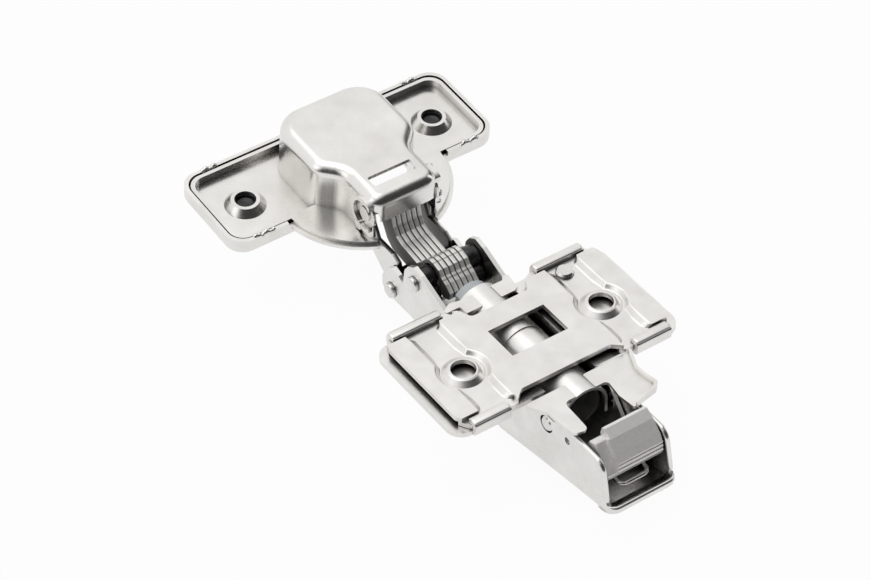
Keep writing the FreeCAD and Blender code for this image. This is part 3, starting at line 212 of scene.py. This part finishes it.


# %% [markdown]
# ## Nickel plate on pressed steel
# Bright nickel over a pressing isn't a mirror. The sheet's own grain shows
# through as a very fine satin, with slow clouds where the press stretched it and
# a few dull specks. So the roughness and colour take one fine noise and one slow
# one, and a bump of less than two thousandths of a millimetre breaks the
# reflection up. Slots and folds get painted shade: their colour is darkened by
# how little of their surroundings is free, and between the U link's cheeks by
# how near a place is to the middle plane.

# %% Plated steel
NICKEL_DARK, NICKEL_LIGHT = (0.74, 0.725, 0.70), (0.86, 0.85, 0.83)
PIN_DARK, SCREW_DARK = (0.66, 0.645, 0.62), (0.56, 0.55, 0.53)
# Painted shade: the colour that slots and folds are darkened to.
PAINTED_SLOT_SHADE = (0.035, 0.032, 0.029)
GRAIN_SIZE, GRAIN_DEPTH, SPECK_SIZE = 0.16, 0.0016, 0.55        # millimetres
CLOUD_SHARE, GRAIN_SHARE = 0.7, 0.3                             # of the change of colour
SHADE_BAND, SPECK_BAND = (0.32, 0.68), (0.70, 0.78)             # of the noise
CLOUD_ROUGH, GRAIN_ROUGH, SPECK_ROUGH = 0.10, 0.06, 0.08
# Painted shade between the U link's cheeks: within 6.0 mm of the middle plane the colour keeps 0.10
# of itself, rising to all of it at 6.3 mm.
CHEEKS, CHEEK_SHADE_LEFT = (6.0, 6.3), 0.10         # the U link's inner faces, and the colour left


def plated(name, rough, dark=NICKEL_DARK, light=NICKEL_LIGHT, cloud=5.0, reach=7.0, inside=None):
    """Colour = dark to light by 0.7 clouds + 0.3 grains, darkened by painted shade in slots and,
    where inside is given, nearer to the middle plane. Roughness = rough +- clouds +- grains +
    specks."""
    finish = Finish(bpy.data.materials.new(name))
    clouds = finish.noise(cloud, detail=3.0)
    grains = finish.noise(GRAIN_SIZE)
    specks = finish.ramp(finish.noise(SPECK_SIZE, detail=1.0), *SPECK_BAND)
    shade = finish.ramp(clouds * CLOUD_SHARE + grains * GRAIN_SHARE, *SHADE_BAND)
    # Painted shade: darker where little of the surroundings is free, and between the U link's
    # cheeks.
    open_here = finish.openness(reach)
    if inside:
        open_here = open_here * finish.ramp(abs(finish.across()), *inside, CHEEK_SHADE_LEFT, 1.0)
    colour = finish.tint(open_here, PAINTED_SLOT_SHADE, finish.tint(shade, dark, light))
    roughness = (rough + (clouds - 0.5) * CLOUD_ROUGH + (grains - 0.5) * GRAIN_ROUGH
                 + specks * SPECK_ROUGH)
    return finish.set(Base_Color=colour, Metallic=1.0, Roughness=roughness,
                      Normal=finish.bump(grains, GRAIN_DEPTH))


# reach is how far, in millimetres, the painted shade in slots looks for walls.
looks = {
    "plate_steel": plated("plate_nickel", rough=0.30, reach=2.0),
    "bracket_steel": plated("bracket_nickel", rough=0.30, reach=2.5),
    "damper_cover": plated("cover_nickel", rough=0.34, reach=1.5),
    "arm_steel": plated("arm_nickel", rough=0.28),
    "cup_steel": plated("cup_nickel", rough=0.24, cloud=7.0),
    "face_steel": plated("face_nickel", rough=0.28),
    # Painted shade on the inner faces of the U link's cheeks.
    "link_steel": plated("link_nickel", rough=0.28, inside=CHEEKS),
    "pin_steel": plated("pin_nickel", rough=0.26, dark=PIN_DARK, reach=2.5),
    "screw_steel": plated("screw_nickel", rough=0.24, dark=SCREW_DARK),
}
print("plated:", *looks)

# %% [markdown]
# ## The laminated link
# Six blanked plates lie side by side. Each has an edge rounded by the press, so
# the pack reads as six bright ribs with dark seams. The seams' darkness is painted
# shade, and it depends only on how far a place is from the nearest seam. Creases
# cross the pack where the blanks were bent, drawn as thin lines of painted shade
# about points of the side view. Deep places of the pack get painted shade too.

# %% Laminated plates
LEAF_PITCH, LEAF_CLOUD = 1.2, 2.5                               # millimetres
CREASES = ((41.3, -2.2), (38.1, -4.2), (34.6, -5.8), (27.9, -1.2), (26.1, -2.2), (24.6, -3.2))
SEAM_BAND, CREASE_BAND, EDGE_BAND = (0.07, 0.24), (0.10, 0.28), (0.0, 0.35)
EDGE_DEPTH = 0.12
LEFT_IN_CREASE = 0.35
# Painted shade: the colour that seams, creases and deep places of the pack are darkened to.
SEAM_SHADE, LEAF_LIGHT = (0.13, 0.125, 0.115), (0.88, 0.87, 0.85)


def laminated(name, rough, dark, light):
    """Painted shade: colour falls to the seam shade from 0.24 to 0.07 mm beside a seam, 0.65 of the
    way there from 0.28 to 0.10 mm beside a crease, and further where little of the pack is free.
    Seams are at 0, +-1.2, +-2.4 mm, so the distance from the nearest one is x sent to and fro
    between 0 and half a pitch. A bump rounds each plate within 0.35 mm of a seam."""
    finish = Finish(bpy.data.materials.new(name))
    from_seam = finish.node("ShaderNodeMath", {"operation": "PINGPONG"}, finish.across(),
                            LEAF_PITCH / 2)
    # Painted shade: 1 away from seams and creases, falling near them.
    unshaded = finish.ramp(from_seam, *SEAM_BAND)
    side_view = finish.place(stretch=(0, 1, 1))
    for y, z in CREASES:
        from_crease = finish.node("ShaderNodeVectorMath", {"operation": "DISTANCE"}, side_view,
                                  (0, y, z), out="Value")
        unshaded = unshaded * finish.ramp(from_crease, *CREASE_BAND, LEFT_IN_CREASE, 1.0)
    grains = finish.noise(GRAIN_SIZE)
    steel = finish.tint(finish.noise(LEAF_CLOUD), dark, light)
    open_here = finish.openness(reach=3.0, shut=0.05, clear=0.35)
    rounded = finish.bump(finish.ramp(from_seam, *EDGE_BAND), EDGE_DEPTH)
    return finish.set(Base_Color=finish.tint(open_here * unshaded, SEAM_SHADE, steel), Metallic=0.55,
                      Roughness=rough + (grains - 0.5) * 0.08,
                      Normal=finish.bump(grains, depth=0.002, below=rounded))


looks["leaf_steel"] = laminated("leaf_nickel", rough=0.38, dark=NICKEL_DARK, light=LEAF_LIGHT)
print("seams from the middle, mm:", [round(LEAF_PITCH * k, 1) for k in range(3)])

# %% [markdown]
# ## The cast lever
# The release lever is a zinc casting, duller and greyer than the pressings. Its
# skin has the fine frosted grain of the mould, so it gets a higher roughness
# and a slightly coarser bump than the plate, and it reflects less of the room.

# %% Cast zinc
ZINC_DARK, ZINC_LIGHT = (0.85, 0.835, 0.82), (0.94, 0.925, 0.91)


def cast(name, rough, dark, light):
    """A frosted casting: colour by 0.6 coarse + 0.4 fine noise, bump by half of each."""
    finish = Finish(bpy.data.materials.new(name))
    coarse = finish.noise(size=0.5, detail=3.0)
    fine = finish.noise(size=0.14)
    colour = finish.tint(finish.ramp(coarse * 0.6 + fine * 0.4, 0.35, 0.65), dark, light)
    return finish.set(Base_Color=colour, Metallic=0.35, Roughness=rough + (fine - 0.5) * 0.1,
                      Normal=finish.bump(coarse * 0.5 + fine * 0.5, depth=0.006))


looks["lever_zinc"] = cast("lever_zinc", rough=0.42, dark=ZINC_DARK, light=ZINC_LIGHT)

# %% [markdown]
# ## Moulded plastic
# The damper's body and the two rollers on the rear pivot are glossy black
# plastic, and so are the plugs that paint shade into the door screw holes. The
# plunger is pale grey. Plastic isn't a metal, so the colour is its own and the
# gloss lies on top of it.

# %% Moulded plastic
BLACKS = ((0.010, 0.010, 0.011), (0.020, 0.020, 0.022))
GREYS = ((0.47, 0.50, 0.53), (0.57, 0.60, 0.63))


def moulded(name, rough, dark, light):
    """Plastic whose colour and gloss change by one slow noise, with a very fine moulded grain."""
    finish = Finish(bpy.data.materials.new(name))
    slow = finish.noise(size=2.5)
    return finish.set(Base_Color=finish.tint(slow, dark, light),
                      Roughness=rough + (slow - 0.5) * 0.12,
                      Normal=finish.bump(finish.noise(size=0.2), depth=0.003))


looks["black_plastic"] = moulded("black_plastic", 0.22, *BLACKS)
looks["grey_plastic"] = moulded("grey_plastic", 0.38, *GREYS)
print("finishes:", len(looks))

# %% [markdown]
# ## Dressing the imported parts
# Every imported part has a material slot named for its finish, so one table of
# finishes dresses them all. The cover of the damper is pressed like the bracket
# but duller, so the table also holds a finish under that part's own name.

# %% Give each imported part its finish
def dress(part):
    """Puts the part's own finish, or else the one of the slot's name, in each of its slots."""
    for slot in part.material_slots:
        name = slot.material.name.split(".")[0]
        slot.material = looks.get(part.name, looks[name])
    return len(part.material_slots)


print("slots dressed:", sum(dress(part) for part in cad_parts.values()))

# %% [markdown]
# ## Forms drawn as surfaces
# Some forms are easier to draw than to model: the soft slopes that the press
# leaves along a channel, a crimp, a rolled edge, a riveted pin end. Each is a
# row of equal outlines with faces between them, closed at both ends. A smooth
# curve through a few measured points says where the row runs.

# %% A smooth curve
def curve(points, count):
    """Catmull-Rom curve through points, count places on each run from b to c:
    p(t) = b + t(c-a)/2 + t^2(2a-5b+4c-d)/2 + t^3(3b-a-3c+d)/2."""
    p = np.asarray(points, float)
    p = np.vstack([2 * p[0] - p[1], p, 2 * p[-1] - p[-2]])
    a, b, c, d = (p[k:k + len(p) - 3, None] for k in range(4))
    t = np.linspace(0, 1, count, endpoint=False)[:, None]
    runs = (b + t * (c - a) / 2 + t**2 * (2 * a - 5 * b + 4 * c - d) / 2
            + t**3 * (3 * b - a - 3 * c + d) / 2)
    return np.vstack([runs.reshape(-1, 3), p[-2:-1]])


# %% A closed skin
def new_object(name, points, faces):
    """An object at the origin whose mesh has these points, in metres, and faces."""
    mesh = bpy.data.meshes.new(name)
    mesh.from_pydata(points, [], faces)
    made = bpy.data.objects.new(name, mesh)
    bpy.context.scene.collection.objects.link(made)
    return made


def skin(name, rings, body, slot, sharp=40):
    """A closed solid through equal outlines: rings[i][k] joins rings[i+1][k], and a cap closes each
    end. Its volume is the sum of a.(b x c)/6 over the triangles of its faces, and where that is
    negative every face is turned round."""
    rings = np.asarray(rings, float) * MM
    count, around = rings.shape[:2]
    points = rings.reshape(-1, 3)
    here, after = np.arange(around), np.roll(np.arange(around), -1)
    start = np.arange(count - 1)[:, None] * around
    walls = np.stack([start + here, start + after, start + around + after,
                      start + around + here], axis=2).reshape(-1, 4)
    caps = np.stack([here[::-1], here + (count - 1) * around])
    triangles = [walls[:, (0, 1, 2)], walls[:, (0, 2, 3)]]
    triangles += [np.stack([np.full(around - 2, cap[0]), cap[1:-1], cap[2:]], axis=1)
                  for cap in caps]
    a, b, c = points[np.vstack(triangles)].transpose(1, 0, 2)
    volume = np.sum(a * np.cross(b, c)) / 6
    faces = [*walls.tolist(), *caps.tolist()]
    if volume < 0:
        faces = [f[::-1] for f in faces]
    made = new_object(name, points.tolist(), faces)
    made.data.shade_smooth()
    made.data.set_sharp_from_angle(angle=math.radians(sharp))
    made.data.materials.append(looks[slot])
    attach(made, body)
    print(name, "faces", len(faces), "mm3", round(abs(volume) / MM**3, 2))
    return made


# %% Turned forms and beads
TURNED_SIDES, BEAD_SIDES = 48, 14
OFF_PATH = (0.31, 0.27, 0.91)           # a direction that no bead's path takes
END_SHARE = 0.02                        # leaves a small cap at the end of a bead


def turned(name, profile, centre, axes, body, slot):
    """Rings centre + r (U cos a + V sin a) + h W for each (r, h) of the profile."""
    a = np.linspace(0, 2 * math.pi, TURNED_SIDES, endpoint=False)[:, None]
    u, v, w = (np.asarray(axis, float) for axis in axes)
    r, h = np.array(profile).T[..., None, None]
    return skin(name, centre + r * (np.cos(a) * u + np.sin(a) * v) + h * w, body, slot)


def bead(name, path, radius, body, slot):
    """A round bead along a path: ring = p + R (N cos a + B sin a), R given at every point. N is
    square to the path, and B to the path and to N."""
    ahead = np.gradient(path, axis=0)
    ahead /= np.linalg.norm(ahead, axis=1)[:, None]
    side = np.cross(ahead, OFF_PATH)
    side /= np.linalg.norm(side, axis=1)[:, None]
    over = np.cross(side, ahead)
    a = np.linspace(0, 2 * math.pi, BEAD_SIDES, endpoint=False)[:, None]
    ring = np.cos(a) * side[:, None] + np.sin(a) * over[:, None]
    return skin(name, path[:, None] + radius[:, None, None] * ring, body, slot)


def rounded_ends(path, radius):
    """Bead radius R sqrt(1 - (1 - e/R)^2) where e, the distance to the nearer end, is under R."""
    steps = np.linalg.norm(np.diff(path, axis=0), axis=1)
    gone = np.concatenate([[0], np.cumsum(steps)])
    end = np.minimum(gone, gone[-1] - gone)
    return radius * np.sqrt(np.clip(1 - (1 - np.minimum(end / radius, 1)) ** 2, END_SHARE, 1))


# %% [markdown]
# ### Slopes along the plate's channels
# The two channels of the mounting plate were pressed down one millimetre, and
# pressed steel can't turn a square corner, so each channel wall has a soft
# slope. The slope falls as the smooth step 3u^2 - 2u^3 from the top edge to
# the channel's floor. Its edge runs along the wall and round the raised pad
# of the plate's screw, and it narrows to almost nothing at both ends.

# %% The edges of the channels
SCREW_X, PAD_RADIUS = 16.0, 5.4
INNER_WALL, OUTER_WALL = 12.3, 20.0
FRONT_END, INNER_REAR_END, OUTER_REAR_END = 13.1, -10.7, -10.3


def walk(corners, step=0.3):
    """Points every step millimetres along straight runs between corners."""
    runs = []
    for a, b in zip(corners, corners[1:]):
        count = max(2, int(np.linalg.norm(b - a) / step))
        runs.append(a + (b - a) * np.linspace(0, 1, count, endpoint=False)[:, None])
    return np.vstack([*runs, corners[-1:]])


def channel_edge(wall, rear_end, side):
    """The wall's line at x = wall, with the pad's circle (16 + R cos a, R sin a) where it passes
    the screw. Side -1 goes round the circle's left, 1 round its right."""
    turn = math.acos((wall - SCREW_X) / PAD_RADIUS)
    a = np.linspace(turn, 2 * math.pi - turn if side < 0 else -turn, 25)
    pad = np.stack([SCREW_X + PAD_RADIUS * np.cos(a), PAD_RADIUS * np.sin(a)], axis=1)
    return walk(np.vstack([(wall, FRONT_END), pad, (wall, rear_end)]))


inner_edge = channel_edge(INNER_WALL, INNER_REAR_END, -1)
outer_edge = channel_edge(OUTER_WALL, OUTER_REAR_END, 1)
print("points on the edges:", len(inner_edge), len(outer_edge))

# %% Channel slopes
SLOPE_TOP, SLOPE_FALL, SLOPE_FOOT = -0.012, 0.97, -1.04         # heights in the plate, mm
OVERLAP, TOE = 0.12, 0.01               # how far a slope goes over the wall, and its foot out
SMOOTHED = 9                            # points that share one direction at a corner
FREE_WIDTH, PAD_WIDTH, END_WIDTH = 1.5, 1.1, 0.06
PAD_END, PAD_BLEND = 4.2, 2.0
FRONT_TAPER, REAR_TAPER = 1.2, 1.6
SIDES = ((-1, "left"), (1, "right"))


def slope(name, top, reach):
    """Ring at each point T of the edge: z = -0.012 - 0.97 (3u^2 - 2u^3) at T + u w N, closed below
    the floor. N points to the left of the way along the edge, w is the reach."""
    ahead = np.gradient(top, axis=0)
    normal = np.stack([-ahead[:, 1], ahead[:, 0]], axis=1)
    normal /= np.linalg.norm(normal, axis=1)[:, None]
    kernel = np.ones(SMOOTHED) / SMOOTHED
    padded = np.pad(normal, ((SMOOTHED // 2, SMOOTHED // 2), (0, 0)), mode="edge")
    out = np.stack([np.convolve(column, kernel, "valid") for column in padded.T], axis=1)
    out /= np.linalg.norm(out, axis=1)[:, None]
    u = np.linspace(0, 1, 9)
    over = (top - OVERLAP * out)[:, None]
    down = top[:, None] + out[:, None] * reach[:, None, None] * u[:, None]
    toe = (top + out * (reach + TOE)[:, None])[:, None]
    flat = np.concatenate([over, over, down, toe], axis=1)
    fall = SLOPE_TOP - SLOPE_FALL * (3 * u**2 - 2 * u**3)
    z = np.broadcast_to([SLOPE_FOOT, SLOPE_TOP, *fall, SLOPE_FOOT], flat.shape[:2])
    return skin(name, np.dstack([flat, z]), "mounting_plate", "plate_steel", sharp=60)


def widths(edge):
    """Slope width: 1.5 on free runs, 1.1 beside the pad, and down to 0.06 at both ends."""
    y = edge[:, 1]
    free = np.clip((np.abs(y) - PAD_END) / PAD_BLEND, 0, 1) * (FREE_WIDTH - PAD_WIDTH) + PAD_WIDTH
    ends = np.minimum(np.clip((FRONT_END - y) / FRONT_TAPER, 0, 1),
                      np.clip((y - y.min()) / REAR_TAPER, 0, 1))
    return END_WIDTH + (free - END_WIDTH) * ends**0.5


for side, label in SIDES:
    for edge, kind, way in ((inner_edge, "inner", 1), (outer_edge, "outer", -1)):
        run, reach = edge * (side, 1.0), widths(edge)
        # A slope falls to the left of the way walked, so two of the four are walked backwards.
        if way * side < 0:
            run, reach = run[::-1], reach[::-1]
        slope("channel_slope_%s_%s" % (kind, label), run, reach)

# %% [markdown]
# ### The clamp's folded lips
# The bracket holds the plate with four lips folded over its edge. A folded lip
# is round on top, so each gets a low crown. It is a flat ellipse in section and
# sits with its middle just under the lip's top, so only its upper part shows.

# %% Crowns on the lips
LIPS = {"front": (11.05, 22.25, 14.95), "rear": (14.55, 22.55, -12.15)}
LIP_HALF_WIDTH, CROWN_BASE, CROWN_HEIGHT = 1.02, -0.12, 0.34
CROWN_ENDS = ((0, 0.75), (0.15, 0.93), (0.4, 1.0))              # distance from the end, share
CROWN_SIDES = 24


def crown(name, start, end, y):
    """Ring at x: (y + W cos a, -0.12 + H sin a), both shrunk to 0.75 at the two ends."""
    a = np.linspace(0, 2 * math.pi, CROWN_SIDES, endpoint=False)
    inset, share = np.array(CROWN_ENDS).T
    x = np.concatenate([start + inset, (end - inset)[::-1]])[:, None]
    share = np.concatenate([share, share[::-1]])[:, None]
    across = y + share * LIP_HALF_WIDTH * np.cos(a)
    height = CROWN_BASE + share * CROWN_HEIGHT * np.sin(a)
    rings = np.stack(np.broadcast_arrays(x, across, height), axis=2)
    return skin(name, rings, "bracket", "bracket_steel", sharp=60)


for side, label in SIDES:
    for kind, (near, far, y) in LIPS.items():
        crown("%s_lip_%s" % (kind, label), *sorted((side * near, side * far)), y)

# %% [markdown]
# ### The cup's small forms
# The cup is tilted four degrees, so its forms are placed in its own frame: v
# runs along the cup and w stands up from it. Each door screw hole, which goes
# right through, is closed by a black blind plug that paints the shade in it. The
# face plate's rim is crimped over the cup plate in four places, and small stops
# stand on the round flange.

# %% In the cup's frame
TILT = math.radians(4.0)
CUP_Y, CUP_Z = 65.9, -3.8
cup_axes = ((1, 0, 0), (0, math.cos(TILT), math.sin(TILT)), (0, -math.sin(TILT), math.cos(TILT)))


def in_cup(x, v, w):
    """(x, 65.9 + v cos 4 - w sin 4, -3.8 + v sin 4 + w cos 4), in millimetres."""
    y = CUP_Y + v * math.cos(TILT) - w * math.sin(TILT)
    z = CUP_Z + v * math.sin(TILT) + w * math.cos(TILT)
    return np.stack(np.broadcast_arrays(x, y, z), axis=-1)


DOOR_SCREW_X = 22.5
# Painted shade: a black blind plug in each through hole for a door screw, so the hole looks dark.
HOLE_SHADE_PLUG = ((2.0, -0.5), (2.17, -0.4), (2.17, 1.05), (2.0, 1.1), (1.85, 0.9), (1.7, 0.2), (1.2, 0.0))
for side, label in SIDES:
    turned("hole_insert_" + label, HOLE_SHADE_PLUG, in_cup(side * DOOR_SCREW_X, 0, 0), cup_axes, "cup",
           "black_plastic")

# %% [markdown]
# ### Crimps and stops
# A crimp isn't straight: the tool leaves a line that wanders and swells. Two
# sine waves of unlike length give it that wander, the same one in every run. The
# stops are short straight beads with round ends.

# %% Crimps
CRIMPS = {"back_left": (-26.1, -22.2, 11.1), "back_right": (22.4, 26.4, 11.1),
          "front_left": (-27.0, -22.0, -10.3), "front_right": (22.0, 27.0, -10.3)}
CRIMP_HEIGHT, CRIMP_RADIUS = 1.68, 0.5
SIDEWAYS, UPWARDS, SWELLING = 0.8, 0.4, 0.6             # shares of the wander
for name, (start, end, v) in CRIMPS.items():
    x = np.linspace(start, end, 41)
    wander = 0.20 * np.sin(2.9 * x + v) + 0.09 * np.sin(7.3 * x)
    path = in_cup(x, v + SIDEWAYS * wander, CRIMP_HEIGHT + UPWARDS * wander)
    swell = 1 + SWELLING * wander
    bead("crimp_" + name, path, rounded_ends(path, CRIMP_RADIUS) * swell, "cup", "face_steel")

# %% Stops
STOPS = {"short": ((13.3, -12.0, 1.75), (14.3, -12.2, 1.75)),
         "middle": ((11.4, -18.6, 1.72), (10.5, -19.9, 1.72)),
         "long": ((9.9, -20.6, 1.72), (9.2, -21.4, 1.72))}
STOP_RADIUS = 0.62
for name, ends in STOPS.items():
    path = curve(in_cup(*np.array(ends).T), count=16)
    bead("stop_" + name, path, rounded_ends(path, STOP_RADIUS), "cup", "cup_steel")

# %% [markdown]
# ### Riveted pin ends and rolled edges
# Both pins of the arm are riveted over, which leaves a dished head. The arm's
# walls end behind in a rounded edge, and its floor turns up into a low lip. The
# wire under the lever is pressed a little thicker along its cross bar.

# %% Rivets
PIN_ENDS = {"front": (36.2, -12.1), "rear": (28.3, -4.5)}
RIVET_X, DISH_LIFT = 8.1, 0.14
DISH = ((1.62, -0.30), (1.66, -0.05), (1.56, 0.16), (1.32, 0.24), (1.05, 0.16), (0.80, -0.02),
        (0.45, -0.10))
for kind, (y, z) in PIN_ENDS.items():
    for side, label in SIDES:
        turned("rivet_%s_%s" % (kind, label), [(r, h + DISH_LIFT) for r, h in DISH],
               (side * RIVET_X, y, z), ((0, 1, 0), (0, 0, 1), (side, 0, 0)), "arm", "pin_steel")

# %% Rolled edges and the wire's bar
WALL_EDGE = ((-18.7, -3.8), (-21.5, -3.8), (-25.0, -3.8), (-29.4, -3.8), (-30.5, -4.05),
             (-31.4, -4.85), (-31.85, -5.9), (-32.65, -9.2), (-33.35, -12.2))
WALL_X, WALL_RADIUS = 7.25, 0.56
for side, label in SIDES:
    path = curve([(side * WALL_X, y, z) for y, z in WALL_EDGE], count=8)
    bead("rolled_edge_" + label, path, rounded_ends(path, WALL_RADIUS), "arm", "arm_steel")

WIRE_BAR = ((-2.6, -32.1, -11.05), (-1.2, -32.12, -11.08), (1.2, -32.12, -11.08),
            (2.6, -32.1, -11.05))
WIRE_RADIUS = 0.52
bar = curve(WIRE_BAR, count=8)
bead("wire_bar", bar, rounded_ends(bar, WIRE_RADIUS), "lever", "pin_steel")

# %% [markdown]
# ### The lip behind the arm's floor
# The lip is one outline in side view carried across the arm. Towards each wall
# it is drawn in along part of a quarter circle, so its corners are round.

# %% Floor lip
LIP = ((-32.4, -15.0), (-33.6, -14.95), (-34.7, -14.6), (-35.35, -13.9), (-35.55, -13.2),
       (-35.45, -12.7), (-35.15, -12.45), (-34.75, -12.5), (-34.2, -12.85), (-33.5, -13.4),
       (-32.6, -13.95))
LIP_STRAIGHT, LIP_END, CORNER = 5.7, 7.6, 2.0
x = np.concatenate([np.linspace(-LIP_END, -LIP_STRAIGHT, 13),
                    np.linspace(LIP_STRAIGHT, LIP_END, 13)])[:, None]
into_corner = np.maximum(0.0, np.abs(x) - LIP_STRAIGHT) / CORNER
drawn_in = CORNER * (1 - np.sqrt(1 - into_corner**2))
y, z = np.array(LIP).T
rings = np.stack(np.broadcast_arrays(x, y + drawn_in, z), axis=2)
skin("floor_lip", rings, "arm", "arm_steel", sharp=70)

# %% [markdown]
# ### The black rollers
# Between the pack and each wall of the arm sits a black moulded roller with a
# second, lower lobe. Its outline is the outside of two overlapping circles. It
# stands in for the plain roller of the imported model.

# %% Rollers
# Each lobe is y, z and a radius. Each station is x and how much both radii shrink there.
LOBES = ((28.3, -4.5, 2.5), (26.6, -7.4, 2.4))
ROLLER_STATIONS = ((3.75, 0.25), (3.85, 0.08), (4.0, 0.0), (6.45, 0.0), (6.6, 0.08), (6.7, 0.25))


def two_lobes(shrink):
    """Points of either circle that lie outside the other, each circle's radius less shrink. With d
    between the middles, circle r meets circle q at the angle acos((r^2 + d^2 - q^2) / 2rd)."""
    arcs = []
    for (y, z, r), (other_y, other_z, q) in (LOBES, LOBES[::-1]):
        d = math.hypot(y - other_y, z - other_z)
        away = math.atan2(z - other_z, y - other_y)
        half = math.pi - math.acos((r**2 + d**2 - q**2) / (2 * r * d))
        a = np.linspace(away - half, away + half, 28)
        arcs.append(np.stack([y + (r - shrink) * np.cos(a), z + (r - shrink) * np.sin(a)], axis=1))
    return np.vstack(arcs)


for side, label in SIDES:
    rings = [np.insert(two_lobes(shrink), 0, side * x, axis=1) for x, shrink in ROLLER_STATIONS]
    roller = skin("roller_" + label, rings, "arm", "black_plastic", sharp=50)
    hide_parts("spacer_" + label)

# %% [markdown]
# ## The studio
# A white floor and big soft lamps give bright metal something even to reflect.
# The camera sees white behind the hinge, while the metal sees a dark room with
# one bright side, which is what draws the soft shading along each bend. The
# floor keeps a faint shadow so the hinge doesn't float.

# %% Floor
FLOOR_HALF, FLOOR_GAP = 3.0, 0.2 * MM
WHITE_TO_CAMERA, WHITE_TO_METAL = 0.95, 0.80
floor_height = cad_low.z - FLOOR_GAP
corners = [(FLOOR_HALF * x, FLOOR_HALF * y, floor_height)
           for x, y in ((-1, -1), (1, -1), (1, 1), (-1, 1))]
floor = new_object("floor", corners, [(0, 1, 2, 3)])
white = Finish(bpy.data.materials.new("white_floor"))
white.set(Base_Color=(0.9, 0.9, 0.9, 1), Roughness=0.9, Specular_IOR_Level=0.1)
seen = (white.node("ShaderNodeLightPath", {}, out="Is Camera Ray") * WHITE_TO_CAMERA
        + white.node("ShaderNodeLightPath", {}, out="Is Glossy Ray") * WHITE_TO_METAL)
glow = white.node("ShaderNodeEmission", {}, (1, 1, 1, 1), 1.0)
mixed = white.node("ShaderNodeMixShader", {}, seen, Wire(white, white.shader.outputs[0]), glow)
white.feed(white.tree.nodes["Material Output"].inputs["Surface"], mixed)
floor.data.materials.append(white.owner)
print("floor at, mm:", round(floor_height / MM, 2))

# %% Room
WARM_WHITE = (1.0, 0.995, 0.985, 1)


def studio_world(dark, light, toward, low, high):
    """Brightness goes smoothly from dark to light while the cosine of the angle between a
    direction and toward goes from low to high. The camera sees plain white."""
    world = bpy.data.worlds.new("studio")
    bpy.context.scene.world = world
    room = Finish(world)
    where = room.node("ShaderNodeTexCoord", {}, out="Generated")
    facing = room.node("ShaderNodeVectorMath", {"operation": "DOT_PRODUCT"}, where,
                       Vector(toward).normalized(), out="Value")
    level = room.node("ShaderNodeMapRange", {"interpolation_type": "SMOOTHSTEP"}, facing,
                      low, high, dark, light)
    base = room.tree.nodes["Background"]
    room.feed(base.inputs["Color"], WARM_WHITE)
    room.feed(base.inputs["Strength"], level)
    sky = room.node("ShaderNodeBackground", {}, (1, 1, 1, 1), 1.0)
    to_camera = room.node("ShaderNodeLightPath", {}, out="Is Camera Ray")
    mix = room.node("ShaderNodeMixShader", {}, to_camera, Wire(room, base.outputs[0]), sky)
    room.feed(room.tree.nodes["World Output"].inputs["Surface"], mix)


studio_world(dark=0.04, light=0.95, toward=(-0.25, 0.75, 0.60), low=0.10, high=0.52)
print("room:", bpy.context.scene.world.name)

# %% Lamps
# name, place in metres, width and height in metres, watts
LAMPS = (("overhead_softbox", (-0.10, 0.25, 0.75), (0.7, 0.5), 0.8),
         ("left_softbox", (-0.70, 0.10, 0.35), (0.4, 0.5), 0.25),
         ("right_strip", (0.65, -0.10, 0.30), (0.2, 0.6), 0.5))


def lamp(name, place, size, watts, aim):
    """A rectangular soft lamp at place, facing aim."""
    light = bpy.data.lights.new(name, "AREA")
    light.shape, light.size, light.size_y, light.energy = "RECTANGLE", *size, watts
    made = bpy.data.objects.new(name, light)
    made.location = place
    made.rotation_mode = "QUATERNION"
    made.rotation_quaternion = (Vector(aim) - Vector(place)).to_track_quat("-Z", "Y")
    bpy.context.scene.collection.objects.link(made)


middle = (cad_low + cad_high) / 2
for name, place, size, watts in LAMPS:
    lamp(name, place, size, watts, aim=middle)
print("lamps aim at, mm:", [round(c / MM, 1) for c in middle])

# %% [markdown]
# ## Colours as written
# The Standard view shows a colour as it is written.

# %% Settings
scene = bpy.context.scene
scene.view_settings.view_transform = "Standard"
